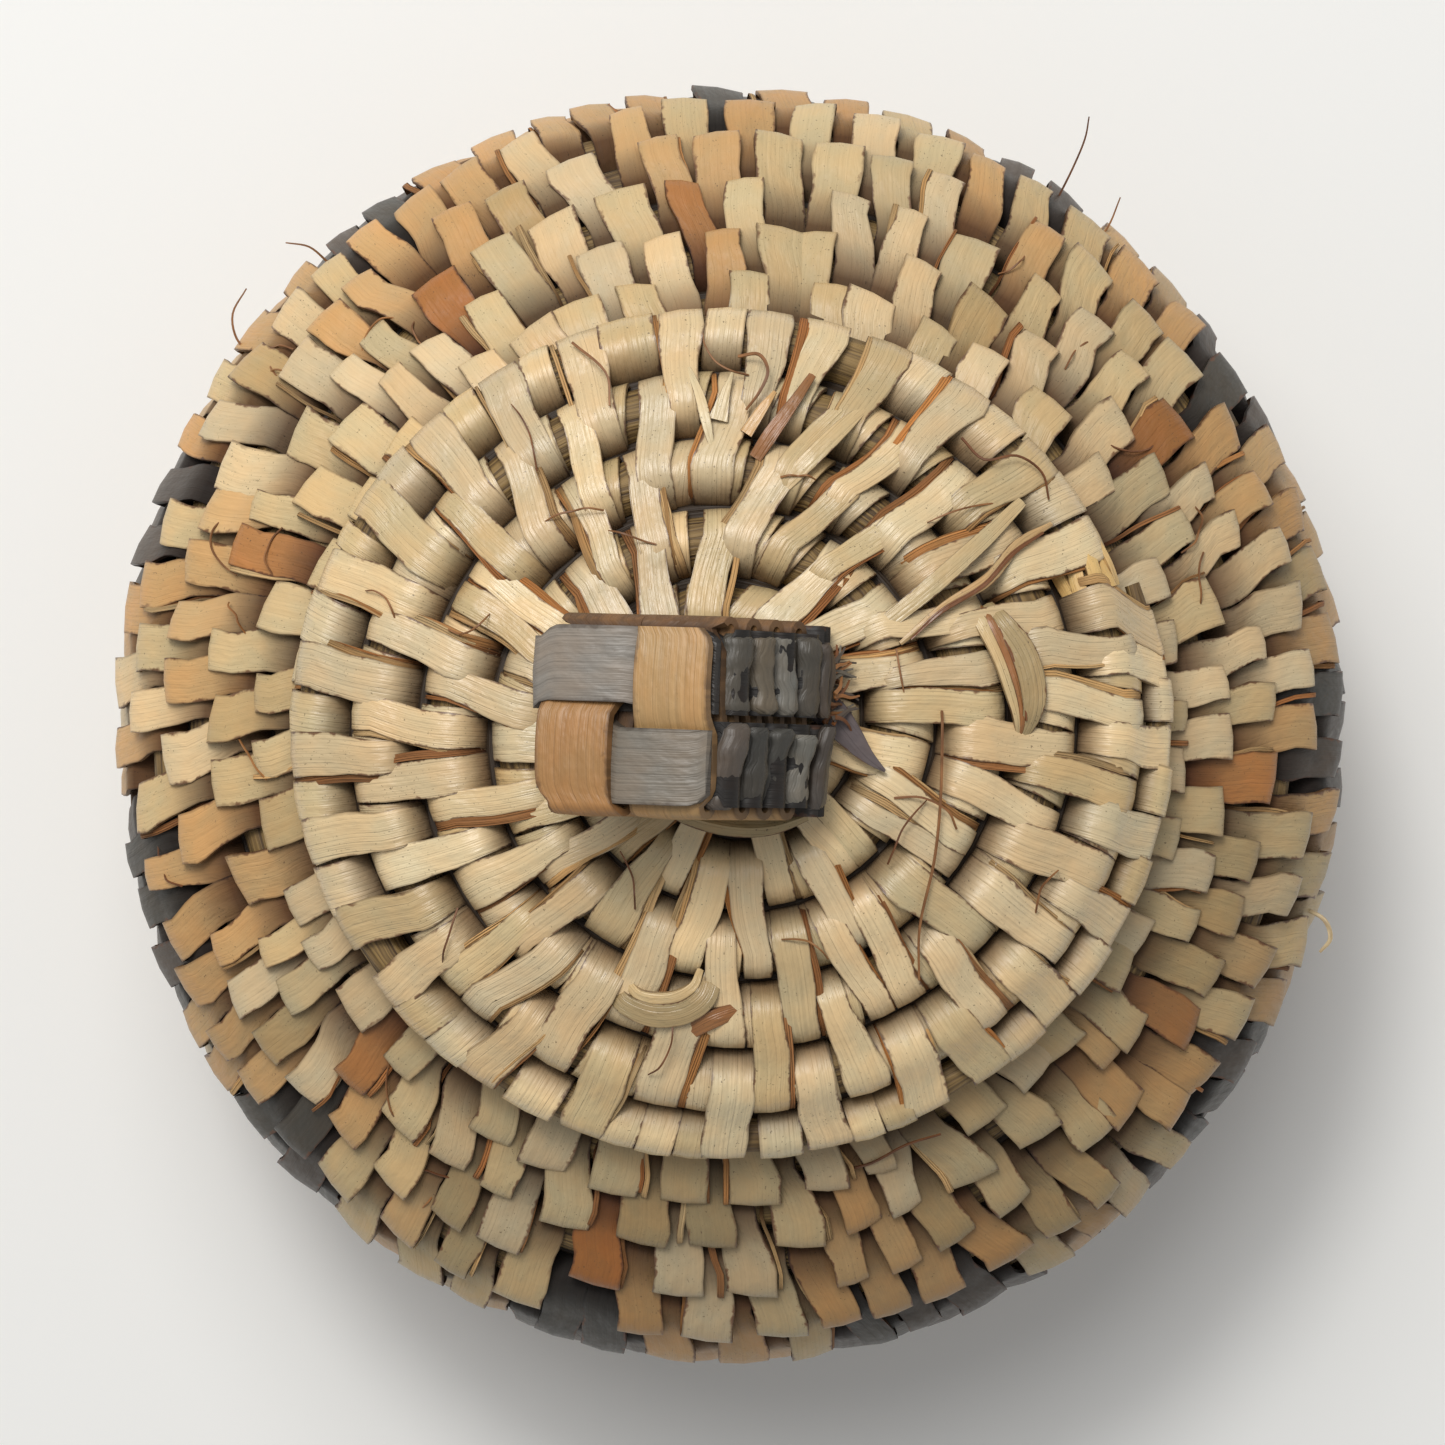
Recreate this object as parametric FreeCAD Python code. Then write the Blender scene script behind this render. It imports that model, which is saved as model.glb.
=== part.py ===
import FreeCAD, Part
import math
import os

# Lidded coiled basket of palm fibre, in millimetres, standing on z = 0 with its axis on Z.
# A bundle of fibre is wound from the middle of the base up to the mouth, and flat palm strips bind each
# turn to the turn before it. The lid is wound the same way and carries a plaited knob.
Vector = FreeCAD.Vector
FULL_TURN = 2.0 * math.pi

# Driving sizes of the basket
belly_radius = 70.0
belly_ovality_share = 0.019
base_share = 0.571
base_dish_angle = 3.0
foot_bend = 9.0
flare_angle = 30.0
belly_straight = 7.0
shoulder_bend = 18.0
shoulder_angle = 36.0
mouth_share = 0.55
bundle_radius = 2.6
base_start_radius = 5.2
base_knot_clearance = 0.3
foot_flat_depth = 0.5
mouth_end_angle = 200.0

# Palm strips that bind the turns
strip_thickness = 0.45
strip_clearance = 0.15
strip_gap = 0.2
strip_side_gap = 0.27
strip_width = 3.4
strip_spacing = 8.8
least_gap_share = 0.75
wrap_width = 2.6

# Driving sizes of the lid
lid_overhang = 6.7
lid_ovality_share = -0.02
lid_dome_radius = 100.0
lid_bundle_radius = 3.1
lid_start_radius = 6.7
lid_end_angle = 20.0
lid_strip_width = 3.6
lid_strip_spacing = 8.6
lid_wrap_width = 3.4
seat_clearance = 0.3
flange_bundle_radius = 2.3
flange_play = 0.8
flange_climb_angle = 60.0
taper_share = 0.85

# Driving sizes of the knob
knob_length = 19.6
knob_width = 19.5
knob_rounds = 9
knob_layer_pitch = 0.9
knob_strip_thickness = 0.7
knob_centre_gap = 0.35
knob_strip_clearance = 0.2
knob_tilt_angle = 18.0
knob_slide_share = 0.35
knob_turn_angle = -2.0
knob_offset = 0.8
knob_pleats = 4
knob_pleat_gap_angle = 0.9
knob_pleat_start = 2.2
stem_radius = 2.4
tail_knot_radius = 5.2
tail_knot_height = 7.5
knob_clearance = 0.3

# Two short mending strips that arch over the lid's stitches
mending_span = 11.0
mending_rise = 1.6
mending_width = 3.0
mending_clearance = 0.25

# The pattern round the belly and the shoulder
motif_count = 11
motif_angle = 31.0
lower_wall_share = 0.43

# How finely curves are followed
spans_per_turn = 6
sections_per_turn = 24
samples_per_turn = 72
turn_step = 0.001
overrun = 20.0

# The foot, the mouth and the lid follow the belly.
base_radius = base_share * belly_radius
mouth_radius = mouth_share * belly_radius
lid_radius = mouth_radius + lid_overhang

# The space between turns holds the strips that pass there, one against each bundle.
strip_layer = strip_clearance + strip_thickness
row_space = 2.0 * strip_layer + strip_gap
row_pitch = 2.0 * bundle_radius + row_space
lid_row_pitch = 2.0 * lid_bundle_radius + row_space
flange_row_pitch = 2.0 * flange_bundle_radius + row_space


class Meridian:
    """A curve in the plane of radius and height, made of straight and round stretches."""

    def __init__(self, radius, height, angle):
        self.stretches = []
        self.length = 0.0
        self.radius, self.height, self.angle = radius, height, angle

    def add(self, length, curvature):
        """Add a stretch that turns left by curvature for each unit of its length."""
        self.stretches.append((self.length, length, self.radius, self.height, self.angle, curvature))
        self.radius, self.height, self.angle = self.along(self.stretches[-1], length)
        self.length += length

    def line(self, length):
        self.add(length, 0.0)

    def bend(self, bend_radius, end_angle):
        turn = end_angle - self.angle
        self.add(abs(turn) * bend_radius, math.copysign(1.0 / bend_radius, turn))

    @staticmethod
    def along(stretch, distance):
        _, _, radius, height, angle, curvature = stretch
        if curvature == 0.0:
            return (radius + distance * math.cos(angle), height + distance * math.sin(angle), angle)
        end = angle + curvature * distance
        out = (math.sin(end) - math.sin(angle)) / curvature
        up = (math.cos(angle) - math.cos(end)) / curvature
        return radius + out, height + up, end

    def at(self, distance):
        """Radius, height and direction at a distance along the curve."""
        chosen = self.stretches[0]
        for stretch in self.stretches:
            if stretch[0] <= distance:
                chosen = stretch
        return self.along(chosen, distance - chosen[0])


def basket_meridian():
    """The middle of the bundle from the base's middle to the mouth, and where its stretches end."""
    dish, flare = math.radians(-base_dish_angle), math.radians(flare_angle)
    shoulder = math.radians(180.0 - shoulder_angle)
    upright = math.radians(90.0)
    widest = belly_radius - bundle_radius - strip_layer
    curve = Meridian(0.0, 0.0, dish)
    curve.line(base_radius)
    curve.bend(foot_bend, flare)
    marks = [curve.length]
    lower_bend = (widest - curve.radius) / (1.0 - math.sin(flare))
    curve.bend(lower_bend, upright)
    marks.append(curve.length)
    curve.line(belly_straight)
    curve.bend(shoulder_bend, shoulder)
    marks.append(curve.length)
    curve.line((curve.radius - mouth_radius) / math.cos(math.radians(shoulder_angle)))
    return curve, marks


def lid_meridian():
    """The middle of the lid's bundle, from its raised centre down to its edge."""
    curve = Meridian(0.0, 0.0, 0.0)
    reach = lid_radius - lid_bundle_radius * (1.0 - taper_share) - strip_layer
    curve.bend(lid_dome_radius, -math.asin(reach / lid_dome_radius))
    return curve


class Coil:
    """A bundle wound along a meridian, one row further with each turn. Its last turn tapers."""

    def __init__(self, meridian, start, pitch, radius, end_angle, ovality_share, oval_at):
        self.meridian, self.start, self.pitch, self.radius = meridian, start, pitch, radius
        self.cut = radius * taper_share
        self.full_turns = (meridian.length - start - pitch + self.cut) / pitch
        self.turns = self.full_turns + 1.0
        self.phase = math.radians(end_angle) - FULL_TURN * self.turns
        self.ovality_share, self.oval_at = ovality_share, oval_at
        self.lift = 0.0

    def distance(self, turn):
        """How far along the meridian the bundle's middle is."""
        past = max(0.0, turn - self.full_turns)
        return self.start + self.pitch * turn - self.cut * past

    def thickness(self, turn):
        """The bundle's radius, which shrinks along the last turn."""
        past = max(0.0, turn - self.full_turns)
        return self.radius * (1.0 - taper_share * past)

    def angle(self, turn):
        return self.phase + FULL_TURN * turn

    def point(self, turn):
        radius, height, _ = self.meridian.at(self.distance(turn))
        oval = self.ovality_share * self.oval_at(self.distance(turn))
        angle = self.angle(turn)
        across = radius * (1.0 - oval) * math.cos(angle)
        along = radius * (1.0 + oval) * math.sin(angle)
        return Vector(across, along, height + self.lift)

    def tangent(self, turn):
        step = self.point(turn + turn_step) - self.point(turn - turn_step)
        return step.normalize()

    def turn_at(self, distance):
        return (distance - self.start) / self.pitch


class Flange:
    """Two level loops below the lid, with one climb between them."""

    def __init__(self, radius, top, pitch):
        self.radius, self.top, self.pitch = radius, top, pitch
        self.climb = flange_climb_angle / 360.0
        self.turns = 2.0 - self.climb
        self.phase = math.radians(lid_end_angle)

    def point(self, turn):
        share = min(1.0, max(0.0, (turn - (1.0 - self.climb)) / self.climb))
        height = self.top - self.pitch * (1.0 - share * share * (3.0 - 2.0 * share))
        angle = self.phase + FULL_TURN * turn
        return Vector(self.radius * math.cos(angle), self.radius * math.sin(angle), height)

    def tangent(self, turn):
        step = self.point(turn + turn_step) - self.point(turn - turn_step)
        return step.normalize()

    def thickness(self, turn):
        return flange_bundle_radius


def biarc(start, start_way, end, end_way):
    """Two arcs that join two points and keep the direction at each of them."""
    chord = end - start
    ways = start_way + end_way
    spread = 2.0 * (1.0 - start_way.dot(end_way))
    along = chord.dot(ways)
    reach = (math.sqrt(along * along + spread * chord.dot(chord)) - along) / spread
    first, second = start + start_way * reach, end - end_way * reach
    middle = (first + second) * 0.5
    arcs = []
    for a, corner, b in ((start, first, middle), (middle, second, end)):
        half = 0.5 * (corner - a).getAngle(b - corner)
        weight = math.cos(half)
        crown = (a + corner * (2.0 * weight) + b) * (0.5 / (1.0 + weight))
        arcs.append(Part.Arc(a, crown, b).toShape())
    return arcs


def turns_between(first, last, per_turn):
    count = max(1, math.ceil((last - first) * per_turn))
    return [first + (last - first) * k / count for k in range(count + 1)]


def wound_tube(path, first, last, radius):
    """One unbroken tube along part of a path."""
    stops = turns_between(first, last, spans_per_turn)
    edges = []
    for a, b in zip(stops, stops[1:]):
        edges += biarc(path.point(a), path.tangent(a), path.point(b), path.tangent(b))
    spine = Part.Wire(edges)
    ring = Part.Wire(Part.makeCircle(radius, path.point(first), path.tangent(first)))
    pipe = Part.BRepOffsetAPI.MakePipeShell(spine)
    pipe.add(ring)
    pipe.build()
    pipe.makeSolid()
    return pipe.shape()


def tapered_tube(path, first, last):
    """The last turn of a coil, lofted through circles that shrink towards its end."""
    rings = []
    for turn in turns_between(first, last, sections_per_turn):
        circle = Part.makeCircle(path.thickness(turn), path.point(turn), path.tangent(turn))
        rings.append(Part.Wire(circle))
    return Part.makeLoft(rings, True, False)


def race(near, far, distance):
    """The outline of a belt round two circles whose middles lie on X, as one wire."""
    lean = (far - near) / distance
    rise = math.sqrt(1.0 - lean * lean)
    middle_near, middle_far = Vector(0.5 * distance, 0, 0), Vector(-0.5 * distance, 0, 0)
    up, down, along = Vector(lean, rise, 0), Vector(lean, -rise, 0), Vector(1, 0, 0)
    near_up, near_down = middle_near + up * near, middle_near + down * near
    far_up, far_down = middle_far + up * far, middle_far + down * far
    return Part.Wire([
        Part.LineSegment(near_up, far_up).toShape(),
        Part.Arc(far_up, middle_far - along * far, far_down).toShape(),
        Part.LineSegment(far_down, near_down).toShape(),
        Part.Arc(near_down, middle_near + along * near, near_up).toShape(),
    ])


def belt(near, far, distance, width):
    """A strip closed round two bundles of the given radii."""
    inner = race(near + strip_clearance, far + strip_clearance, distance)
    outer = race(near + strip_layer, far + strip_layer, distance)
    face = Part.makeFace([outer, inner], "Part::FaceMakerBullseye")
    solid = face.extrude(Vector(0, 0, width))
    solid.translate(Vector(0, 0, -0.5 * width))
    return solid


def hoop(radius, width):
    """A strip closed round one bundle."""
    outer = Part.makeCylinder(radius + strip_layer, width)
    solid = outer.cut(Part.makeCylinder(radius + strip_clearance, width))
    solid.translate(Vector(0, 0, -0.5 * width))
    return solid


def placed(shape, origin, along, across):
    """The shape moved so that its Z lies along one direction and its X near another."""
    side = along.cross(across).normalize()
    first = side.cross(along)
    matrix = FreeCAD.Matrix(
        first.x, side.x, along.x, origin.x,
        first.y, side.y, along.y, origin.y,
        first.z, side.z, along.z, origin.z,
        0, 0, 0, 1)
    return shape.transformed(matrix, copy=True)


def narrowed(width, radius):
    """A straight strip across a curved bundle is only as wide as its clearance allows."""
    return min(width, 2.0 * math.sqrt(strip_clearance * radius))


class Stitch:
    """One place where a strip goes round a turn and the turn before it."""

    def __init__(self, coil, turn, width):
        self.turn = turn
        self.upper, self.lower = coil.point(turn), coil.point(turn - 1.0)
        self.way = coil.tangent(turn)
        self.sizes = (coil.thickness(turn), coil.thickness(turn - 1.0))
        bend = math.hypot(self.lower.x, self.lower.y) - coil.radius - strip_layer
        self.width = narrowed(width, bend)
        self.angle = math.degrees(coil.angle(turn)) % 360.0

    def solid(self):
        gap = self.upper - self.lower
        across = gap - self.way * gap.dot(self.way)
        shape = belt(self.sizes[0], self.sizes[1], across.Length, self.width)
        return placed(shape, (self.upper + self.lower) * 0.5, self.way, across)


def stitches_along(coil, last, spacing, width):
    """Stitches up to the last turn. Each row's stitches lie evenly between those of the row before."""
    room = FULL_TURN * (math.hypot(coil.point(1.0).x, coil.point(1.0).y) - coil.radius - strip_layer)
    first_row = int(0.5 * room / (narrowed(width, room / FULL_TURN) + strip_gap))
    found = [Stitch(coil, 1.0 + k / (first_row - 0.5), width) for k in range(first_row)]
    owed = 0.0
    for before, after in pairs_of(found):
        step = after.turn - before.turn
        middle = 0.5 * (before.turn + after.turn)
        if middle + 1.0 > last:
            return found
        rows = coil.point(middle), coil.point(middle + 1.0)
        reach = min(math.hypot(point.x, point.y) for point in rows)
        room = step * FULL_TURN * (reach - coil.radius - strip_layer)
        fitting = int(room / (narrowed(width, reach) + strip_side_gap)) - 1
        own = step * FULL_TURN * reach / spacing
        owed = min(2.0, owed + own)
        count = max(0, min(fitting, max(round(owed), 1 if own > least_gap_share else 0)))
        owed = max(0.0, owed - count)
        for k in range(count):
            found.append(Stitch(coil, before.turn + 1.0 + step * (k + 1.0) / (count + 1.0), width))
    return found


def pairs_of(items):
    """Neighbouring pairs of a list that may still grow."""
    k = 1
    while k < len(items):
        yield items[k - 1], items[k]
        k += 1


def wraps_between(coil, stitches, width):
    """Hoops round the last turn alone, half way between its stitches."""
    found = []
    for a, b in zip(stitches, stitches[1:]):
        turn = 0.5 * (a.turn + b.turn)
        reach = math.hypot(coil.point(turn).x, coil.point(turn).y)
        room = (b.turn - a.turn) * FULL_TURN * (reach - coil.radius - strip_layer)
        if turn > coil.full_turns and room - 0.5 * (a.width + b.width) > width + 2.0 * strip_gap:
            shape = hoop(coil.thickness(turn), narrowed(width, reach))
            found.append(placed(shape, coil.point(turn), coil.tangent(turn), Vector(0, 0, 1)))
    return found


def least_gap(path, first, last, radius):
    """The least space between one turn and the next, measured between points."""
    least = None
    for turn in turns_between(first + 1.0, last, samples_per_turn):
        for near in turns_between(turn - 1.1, turn - 0.9, samples_per_turn):
            if near >= first:
                gap = path.point(turn).distanceToPoint(path.point(near)) - 2.0 * radius
                least = gap if least is None else min(least, gap)
    return least


def profile(coil, first, last):
    """Radius, height and outer size of a wrapped bundle at points along a coil."""
    rows = []
    for turn in turns_between(first, last, samples_per_turn):
        point = coil.point(turn)
        rows.append((math.hypot(point.x, point.y), point.z, coil.thickness(turn) + strip_layer))
    return rows


def seat_lift(upper, lower, clearance):
    """How far the upper profile is raised so that it clears the lower one at every turning."""
    lift = None
    for r, z, size in upper:
        for radius, height, other in lower:
            room = (size + other + clearance) ** 2 - (r - radius) ** 2
            if room > 0.0:
                need = height + math.sqrt(room) - z
                lift = need if lift is None else max(lift, need)
    return lift


def compound(solids):
    return Part.makeCompound(solids)


def save(name, shape):
    """Write one node after checking each of its solids."""
    for solid in shape.Solids:
        if not solid.isValid() or solid.Volume <= 0.0:
            print("not valid:", name, solid.Volume)
    shape.exportStep("parts/" + name + ".step")
    print(name, len(shape.Solids), "solids", round(shape.Volume, 1), "mm3")


def motif_offset(angle):
    """Angle from the nearest motif's middle."""
    step = 360.0 / motif_count
    return abs((angle - motif_angle + 0.5 * step) % step - 0.5 * step)


def rows_below_mouth(coil, stitch):
    return int(coil.turns - stitch.turn)


def basket_colour(coil, stitch, lower_turn, belly_turn):
    """Which strip the pattern calls for: triangles of tan with a russet tip above dark diamonds."""
    row = rows_below_mouth(coil, stitch)
    below_belly = belly_turn - stitch.turn
    step = 180.0 / motif_count
    offset = motif_offset(stitch.angle) / step
    dark_share = (0.34, 0.5, 0.62, 0.5, 0.34)
    dark_row = int(below_belly + 3.0)
    tan_share = (0.0, 0.0, 0.34, 0.5, 0.75, 1.1)
    if row == 2 and offset < tan_share[2] and dark_row != 0:
        return "russet"
    if 0 <= dark_row < len(dark_share) and offset < dark_share[dark_row]:
        return "dark"
    if stitch.turn < lower_turn:
        return "lower"
    if row >= len(tan_share) or (row > 2 and offset < tan_share[row]):
        return "tan"
    return "straw"


def foot_cut(shape):
    """The shape without what lies below the plane that the basket stands on."""
    side = 2.0 * (belly_radius + overrun)
    below = Part.makeBox(side, side, overrun, Vector(-0.5 * side, -0.5 * side, -overrun))
    kept = []
    for solid in shape.Solids:
        kept += solid.cut(below).Solids if solid.BoundBox.ZMin < 0.0 else [solid]
    return compound(kept)


def build_basket():
    """Write the nodes of the basket's own body, and return its coil."""
    curve, marks = basket_meridian()
    belly_middle = 0.5 * (marks[1] + marks[2])

    def oval_at(distance):
        share = abs(distance - belly_middle) / (curve.length - belly_middle)
        return max(0.0, 1.0 - share * share)

    coil = Coil(curve, base_start_radius, row_pitch, bundle_radius, mouth_end_angle,
                belly_ovality_share, oval_at)
    lowest = min(coil.point(turn).z for turn in turns_between(0.0, coil.full_turns, samples_per_turn))
    coil.lift = bundle_radius - foot_flat_depth - lowest
    ends = [0.0] + [coil.turn_at(mark) for mark in marks] + [coil.full_turns]
    for name, first, last in zip(
            ("base_coil", "lower_wall_coil", "belly_coil", "shoulder_coil"), ends, ends[1:]):
        tube = wound_tube(coil, first, last, bundle_radius)
        print(name, "gap to itself", least_gap(coil, first, last, bundle_radius))
        save(name, foot_cut(tube))
    save("rim_coil", tapered_tube(coil, coil.full_turns, coil.turns))
    save("base_centre_knot", base_knot(coil))
    groups = {}
    stitches = stitches_along(coil, coil.turns, strip_spacing, strip_width)
    lower_turn = coil.turn_at(marks[0] + lower_wall_share * (marks[1] - marks[0]))
    belly_turn = coil.turn_at(marks[1] + belly_straight)
    for stitch in stitches:
        if stitch.turn > coil.full_turns:
            name = "rim_stitches"
        elif stitch.turn < ends[1]:
            name = "base_stitches"
        else:
            colour = basket_colour(coil, stitch, lower_turn, belly_turn)
            name = {"lower": "lower_wall_stitches", "dark": "belly_dark_stitches",
                    "tan": "pattern_tan_stitches", "russet": "shoulder_russet_stitches",
                    "straw": "shoulder_straw_stitches"}[colour]
        groups.setdefault(name, []).append(stitch.solid())
    for name, solids in groups.items():
        save(name, foot_cut(compound(solids)))
    save("rim_wraps", compound(wraps_between(coil, stitches, wrap_width)))
    return coil


def base_knot(coil):
    """The knot that the winding of the base starts from."""
    inner = base_start_radius - bundle_radius - strip_layer - base_knot_clearance
    half = bundle_radius - strip_thickness
    plug = Part.makeCylinder(inner, 2.0 * half, Vector(0, 0, coil.point(0.0).z - half))
    return plug.makeFillet(0.5 * inner, plug.Edges)


def build_lid(basket):
    """Write the lid's nodes. Returns the lid's coil, and the flange."""
    curve = lid_meridian()
    coil = Coil(curve, lid_start_radius, lid_row_pitch, lid_bundle_radius, lid_end_angle,
                lid_ovality_share, lambda distance: distance / curve.length)
    rim = profile(basket, basket.full_turns - 2.0, basket.turns)
    coil.lift = seat_lift(profile(coil, 0.0, coil.turns), rim, seat_clearance)
    save("lid_coil", wound_tube(coil, 0.0, coil.full_turns, lid_bundle_radius))
    print("lid coil gap to itself", least_gap(coil, 0.0, coil.full_turns, lid_bundle_radius))
    save("lid_edge_coil", tapered_tube(coil, coil.full_turns, coil.turns))
    stitches = stitches_along(coil, coil.turns, lid_strip_spacing, lid_strip_width)
    inner = [s.solid() for s in stitches if s.turn <= coil.full_turns]
    outer = [s.solid() for s in stitches if s.turn > coil.full_turns]
    save("lid_inner_stitches", compound(inner))
    save("lid_edge_stitches", compound(outer))
    save("lid_edge_wraps", compound(wraps_between(coil, stitches, lid_wrap_width)))
    inside = min(r - size for r, z, size in rim)
    size = flange_bundle_radius + strip_layer
    radius = inside - flange_play - size
    under = [(r, -z, own) for r, z, own in profile(coil, 0.0, coil.turns)]
    drop = seat_lift([(radius, 0.0, size)], under, strip_gap)
    flange = Flange(radius, -drop, flange_row_pitch)
    save("lid_flange_coil", wound_tube(flange, 0.0, flange.turns, flange_bundle_radius))
    save("lid_flange_stitches", compound(flange_stitches(flange)))
    save("lid_mending_strips", mending_strips(coil))
    return coil, flange


def flange_stitches(flange):
    """Strips that bind the flange's two loops, where both are level."""
    level = 1.0 - flange.climb
    step = lid_strip_spacing / (FULL_TURN * flange.radius)
    count = int((level - step) / step)
    first = 1.0 + 0.5 * (level - step * count)
    solids = []
    for k in range(count + 1):
        turn = first + step * k
        upper, lower = flange.point(turn), flange.point(turn - 1.0)
        shape = belt(flange_bundle_radius, flange_bundle_radius, flange.pitch,
                     narrowed(strip_width, flange.radius))
        solids.append(placed(shape, (upper + lower) * 0.5, flange.tangent(turn), upper - lower))
    return solids


def mending_strips(coil):
    """Two arched strips, one on the right of the lid and one near its lower edge."""
    place_shares = ((0.67, 15.0, 100.0), (0.64, 257.0, -8.0))
    radius = (0.25 * mending_span * mending_span + mending_rise * mending_rise) / (2.0 * mending_rise)
    half = 0.5 * mending_span
    middle = mending_rise - radius
    swell = (radius + strip_thickness) / radius
    solids = []
    for radius_share, angle, heading in place_shares:
        reach = radius_share * lid_radius
        height = coil.lift - lid_dome_radius + math.sqrt(lid_dome_radius ** 2 - reach ** 2)
        lean = math.asin(reach / lid_dome_radius)
        left, right = Vector(-half, 0, 0), Vector(half, 0, 0)
        under = Part.Arc(left, Vector(0, 0, mending_rise), right).toShape()
        left_top, right_top = [Vector(end.x * swell, 0, middle * (1.0 - swell)) for end in (left, right)]
        over = Part.Arc(left_top, Vector(0, 0, mending_rise + strip_thickness), right_top).toShape()
        ends = [Part.LineSegment(a, b).toShape() for a, b in ((right, right_top), (left_top, left))]
        face = Part.Face(Part.Wire([under, ends[0], over, ends[1]]))
        strip = face.extrude(Vector(0, mending_width, 0))
        strip.translate(Vector(0, -0.5 * mending_width, lid_bundle_radius + strip_layer + mending_clearance))
        strip.rotate(Vector(), Vector(0, 0, 1), heading)
        strip.rotate(Vector(), Vector(0, 1, 0), math.degrees(lean))
        strip.translate(Vector(reach, 0, height))
        strip.rotate(Vector(), Vector(0, 0, 1), angle)
        solids.append(strip)
    return compound(solids)


def thick_outline(points, thickness):
    """A closed outline round a zigzag line, mitred at its corners."""
    half = 0.5 * thickness
    sides = ([], [])
    for k, (x, z) in enumerate(points):
        normals = []
        for a, b in ((k - 1, k), (k, k + 1)):
            if a >= 0 and b < len(points):
                dx, dz = points[b][0] - points[a][0], points[b][1] - points[a][1]
                size = math.hypot(dx, dz)
                normals.append((-dz / size, dx / size))
        nx = sum(n[0] for n in normals) / len(normals)
        nz = sum(n[1] for n in normals) / len(normals)
        scale = half / (nx * nx + nz * nz)
        sides[0].append((x + nx * scale, z + nz * scale))
        sides[1].append((x - nx * scale, z - nz * scale))
    return sides[0] + sides[1][::-1]


def pleated_line(half_span, over_first):
    """The middle of one knob strip, folded back and forth, in the plane of its run and the stack."""
    points = []
    for k in range(knob_rounds):
        low, high = 2.0 * k * knob_layer_pitch, (2.0 * k + 1.0) * knob_layer_pitch
        heights = (high, low) if over_first else (low, high)
        run = [(-half_span, heights[0]), (-knob_centre_gap, heights[0]),
               (knob_centre_gap, heights[1]), (half_span, heights[1])]
        points += run if k % 2 == 0 else run[::-1]
    return points


def knob_strips():
    """The knob's four plaited strips in the stack's own frame, sliding to one side as it rises."""
    fold_x = 0.5 * (knob_length - knob_strip_thickness)
    fold_y = 0.5 * (knob_width - knob_strip_thickness)
    end_x = 0.5 * knob_length - knob_strip_thickness - knob_strip_clearance
    end_y = 0.5 * knob_width - knob_strip_thickness - knob_strip_clearance
    strips = {}
    for name, over_first, y in (("knob_grey_strip_back", True, knob_centre_gap),
                                ("knob_grey_strip_front", False, -end_y)):
        outline = thick_outline(pleated_line(fold_x, over_first), knob_strip_thickness)
        points = [Vector(x - knob_slide_share * z, y, z) for x, z in outline]
        face = Part.Face(Part.makePolygon(points + points[:1]))
        strips[name] = face.extrude(Vector(0, end_y - knob_centre_gap, 0))
    for name, over_first, x in (("knob_tan_strip_left", True, -end_x),
                                ("knob_tan_strip_right", False, knob_centre_gap)):
        outline = thick_outline(pleated_line(fold_y, over_first), knob_strip_thickness)
        points = [Vector(x - knob_slide_share * z, y, z) for y, z in outline]
        face = Part.Face(Part.makePolygon(points + points[:1]))
        strips[name] = face.extrude(Vector(end_x - knob_centre_gap, 0, 0))
    return strips


def knob_foot():
    """Pleats that fan out below the stack, from level at the lid to the stack's tilt."""
    slice_angle = knob_tilt_angle / knob_pleats
    far = knob_length
    solids = []
    for k in range(knob_pleats):
        low = math.radians(slice_angle * k + (0.0 if k == 0 else 0.5 * knob_pleat_gap_angle))
        high = math.radians(slice_angle * (k + 1) - 0.5 * knob_pleat_gap_angle)
        corners = [Vector(reach * math.cos(angle) - 0.5 * knob_length, 0, reach * math.sin(angle))
                   for reach, angle in ((knob_pleat_start, low), (far, low), (far, high),
                                        (knob_pleat_start, high))]
        face = Part.Face(Part.makePolygon(corners + corners[:1]))
        half = 0.5 * knob_width - knob_centre_gap
        for side in (knob_centre_gap, -0.5 * knob_width):
            solid = face.extrude(Vector(0, half, 0))
            solid.translate(Vector(0, side, 0))
            solids.append(solid)
    return compound(solids)


def build_knob(lid):
    """Write the knob's nodes: four strips, the pleats at its foot, its stem and the knot below."""
    top = lid.lift + lid_bundle_radius + strip_layer + knob_clearance
    axis = Vector(0, 0, 1)
    foot = knob_foot()
    foot.translate(Vector(0, 0, top))
    foot.rotate(Vector(), axis, knob_turn_angle)
    foot.translate(Vector(0, knob_offset, 0))
    save("knob_foot_pleats", foot)
    raise_by = 0.5 * knob_strip_thickness + knob_clearance
    corner = Vector(-0.5 * knob_length, 0, top)
    for name, strip in knob_strips().items():
        strip.translate(Vector(0, 0, raise_by))
        strip.rotate(Vector(-0.5 * knob_length, 0, 0), Vector(0, 1, 0), -knob_tilt_angle)
        strip.translate(corner + Vector(0.5 * knob_length, 0, 0))
        strip.rotate(Vector(), axis, knob_turn_angle)
        strip.translate(Vector(0, knob_offset, 0))
        save(name, strip)
    under = lid.lift - lid_bundle_radius - strip_layer - knob_clearance
    stem = Part.makeCylinder(stem_radius, top - knob_clearance - under, Vector(0, 0, under))
    save("knob_stem", stem)
    knot = Part.makeCylinder(tail_knot_radius, tail_knot_height, Vector(0, 0, under - tail_knot_height))
    rounding = 0.3 * tail_knot_height
    save("knob_tail_knot", knot.makeFillet(rounding, knot.Edges))


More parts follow.
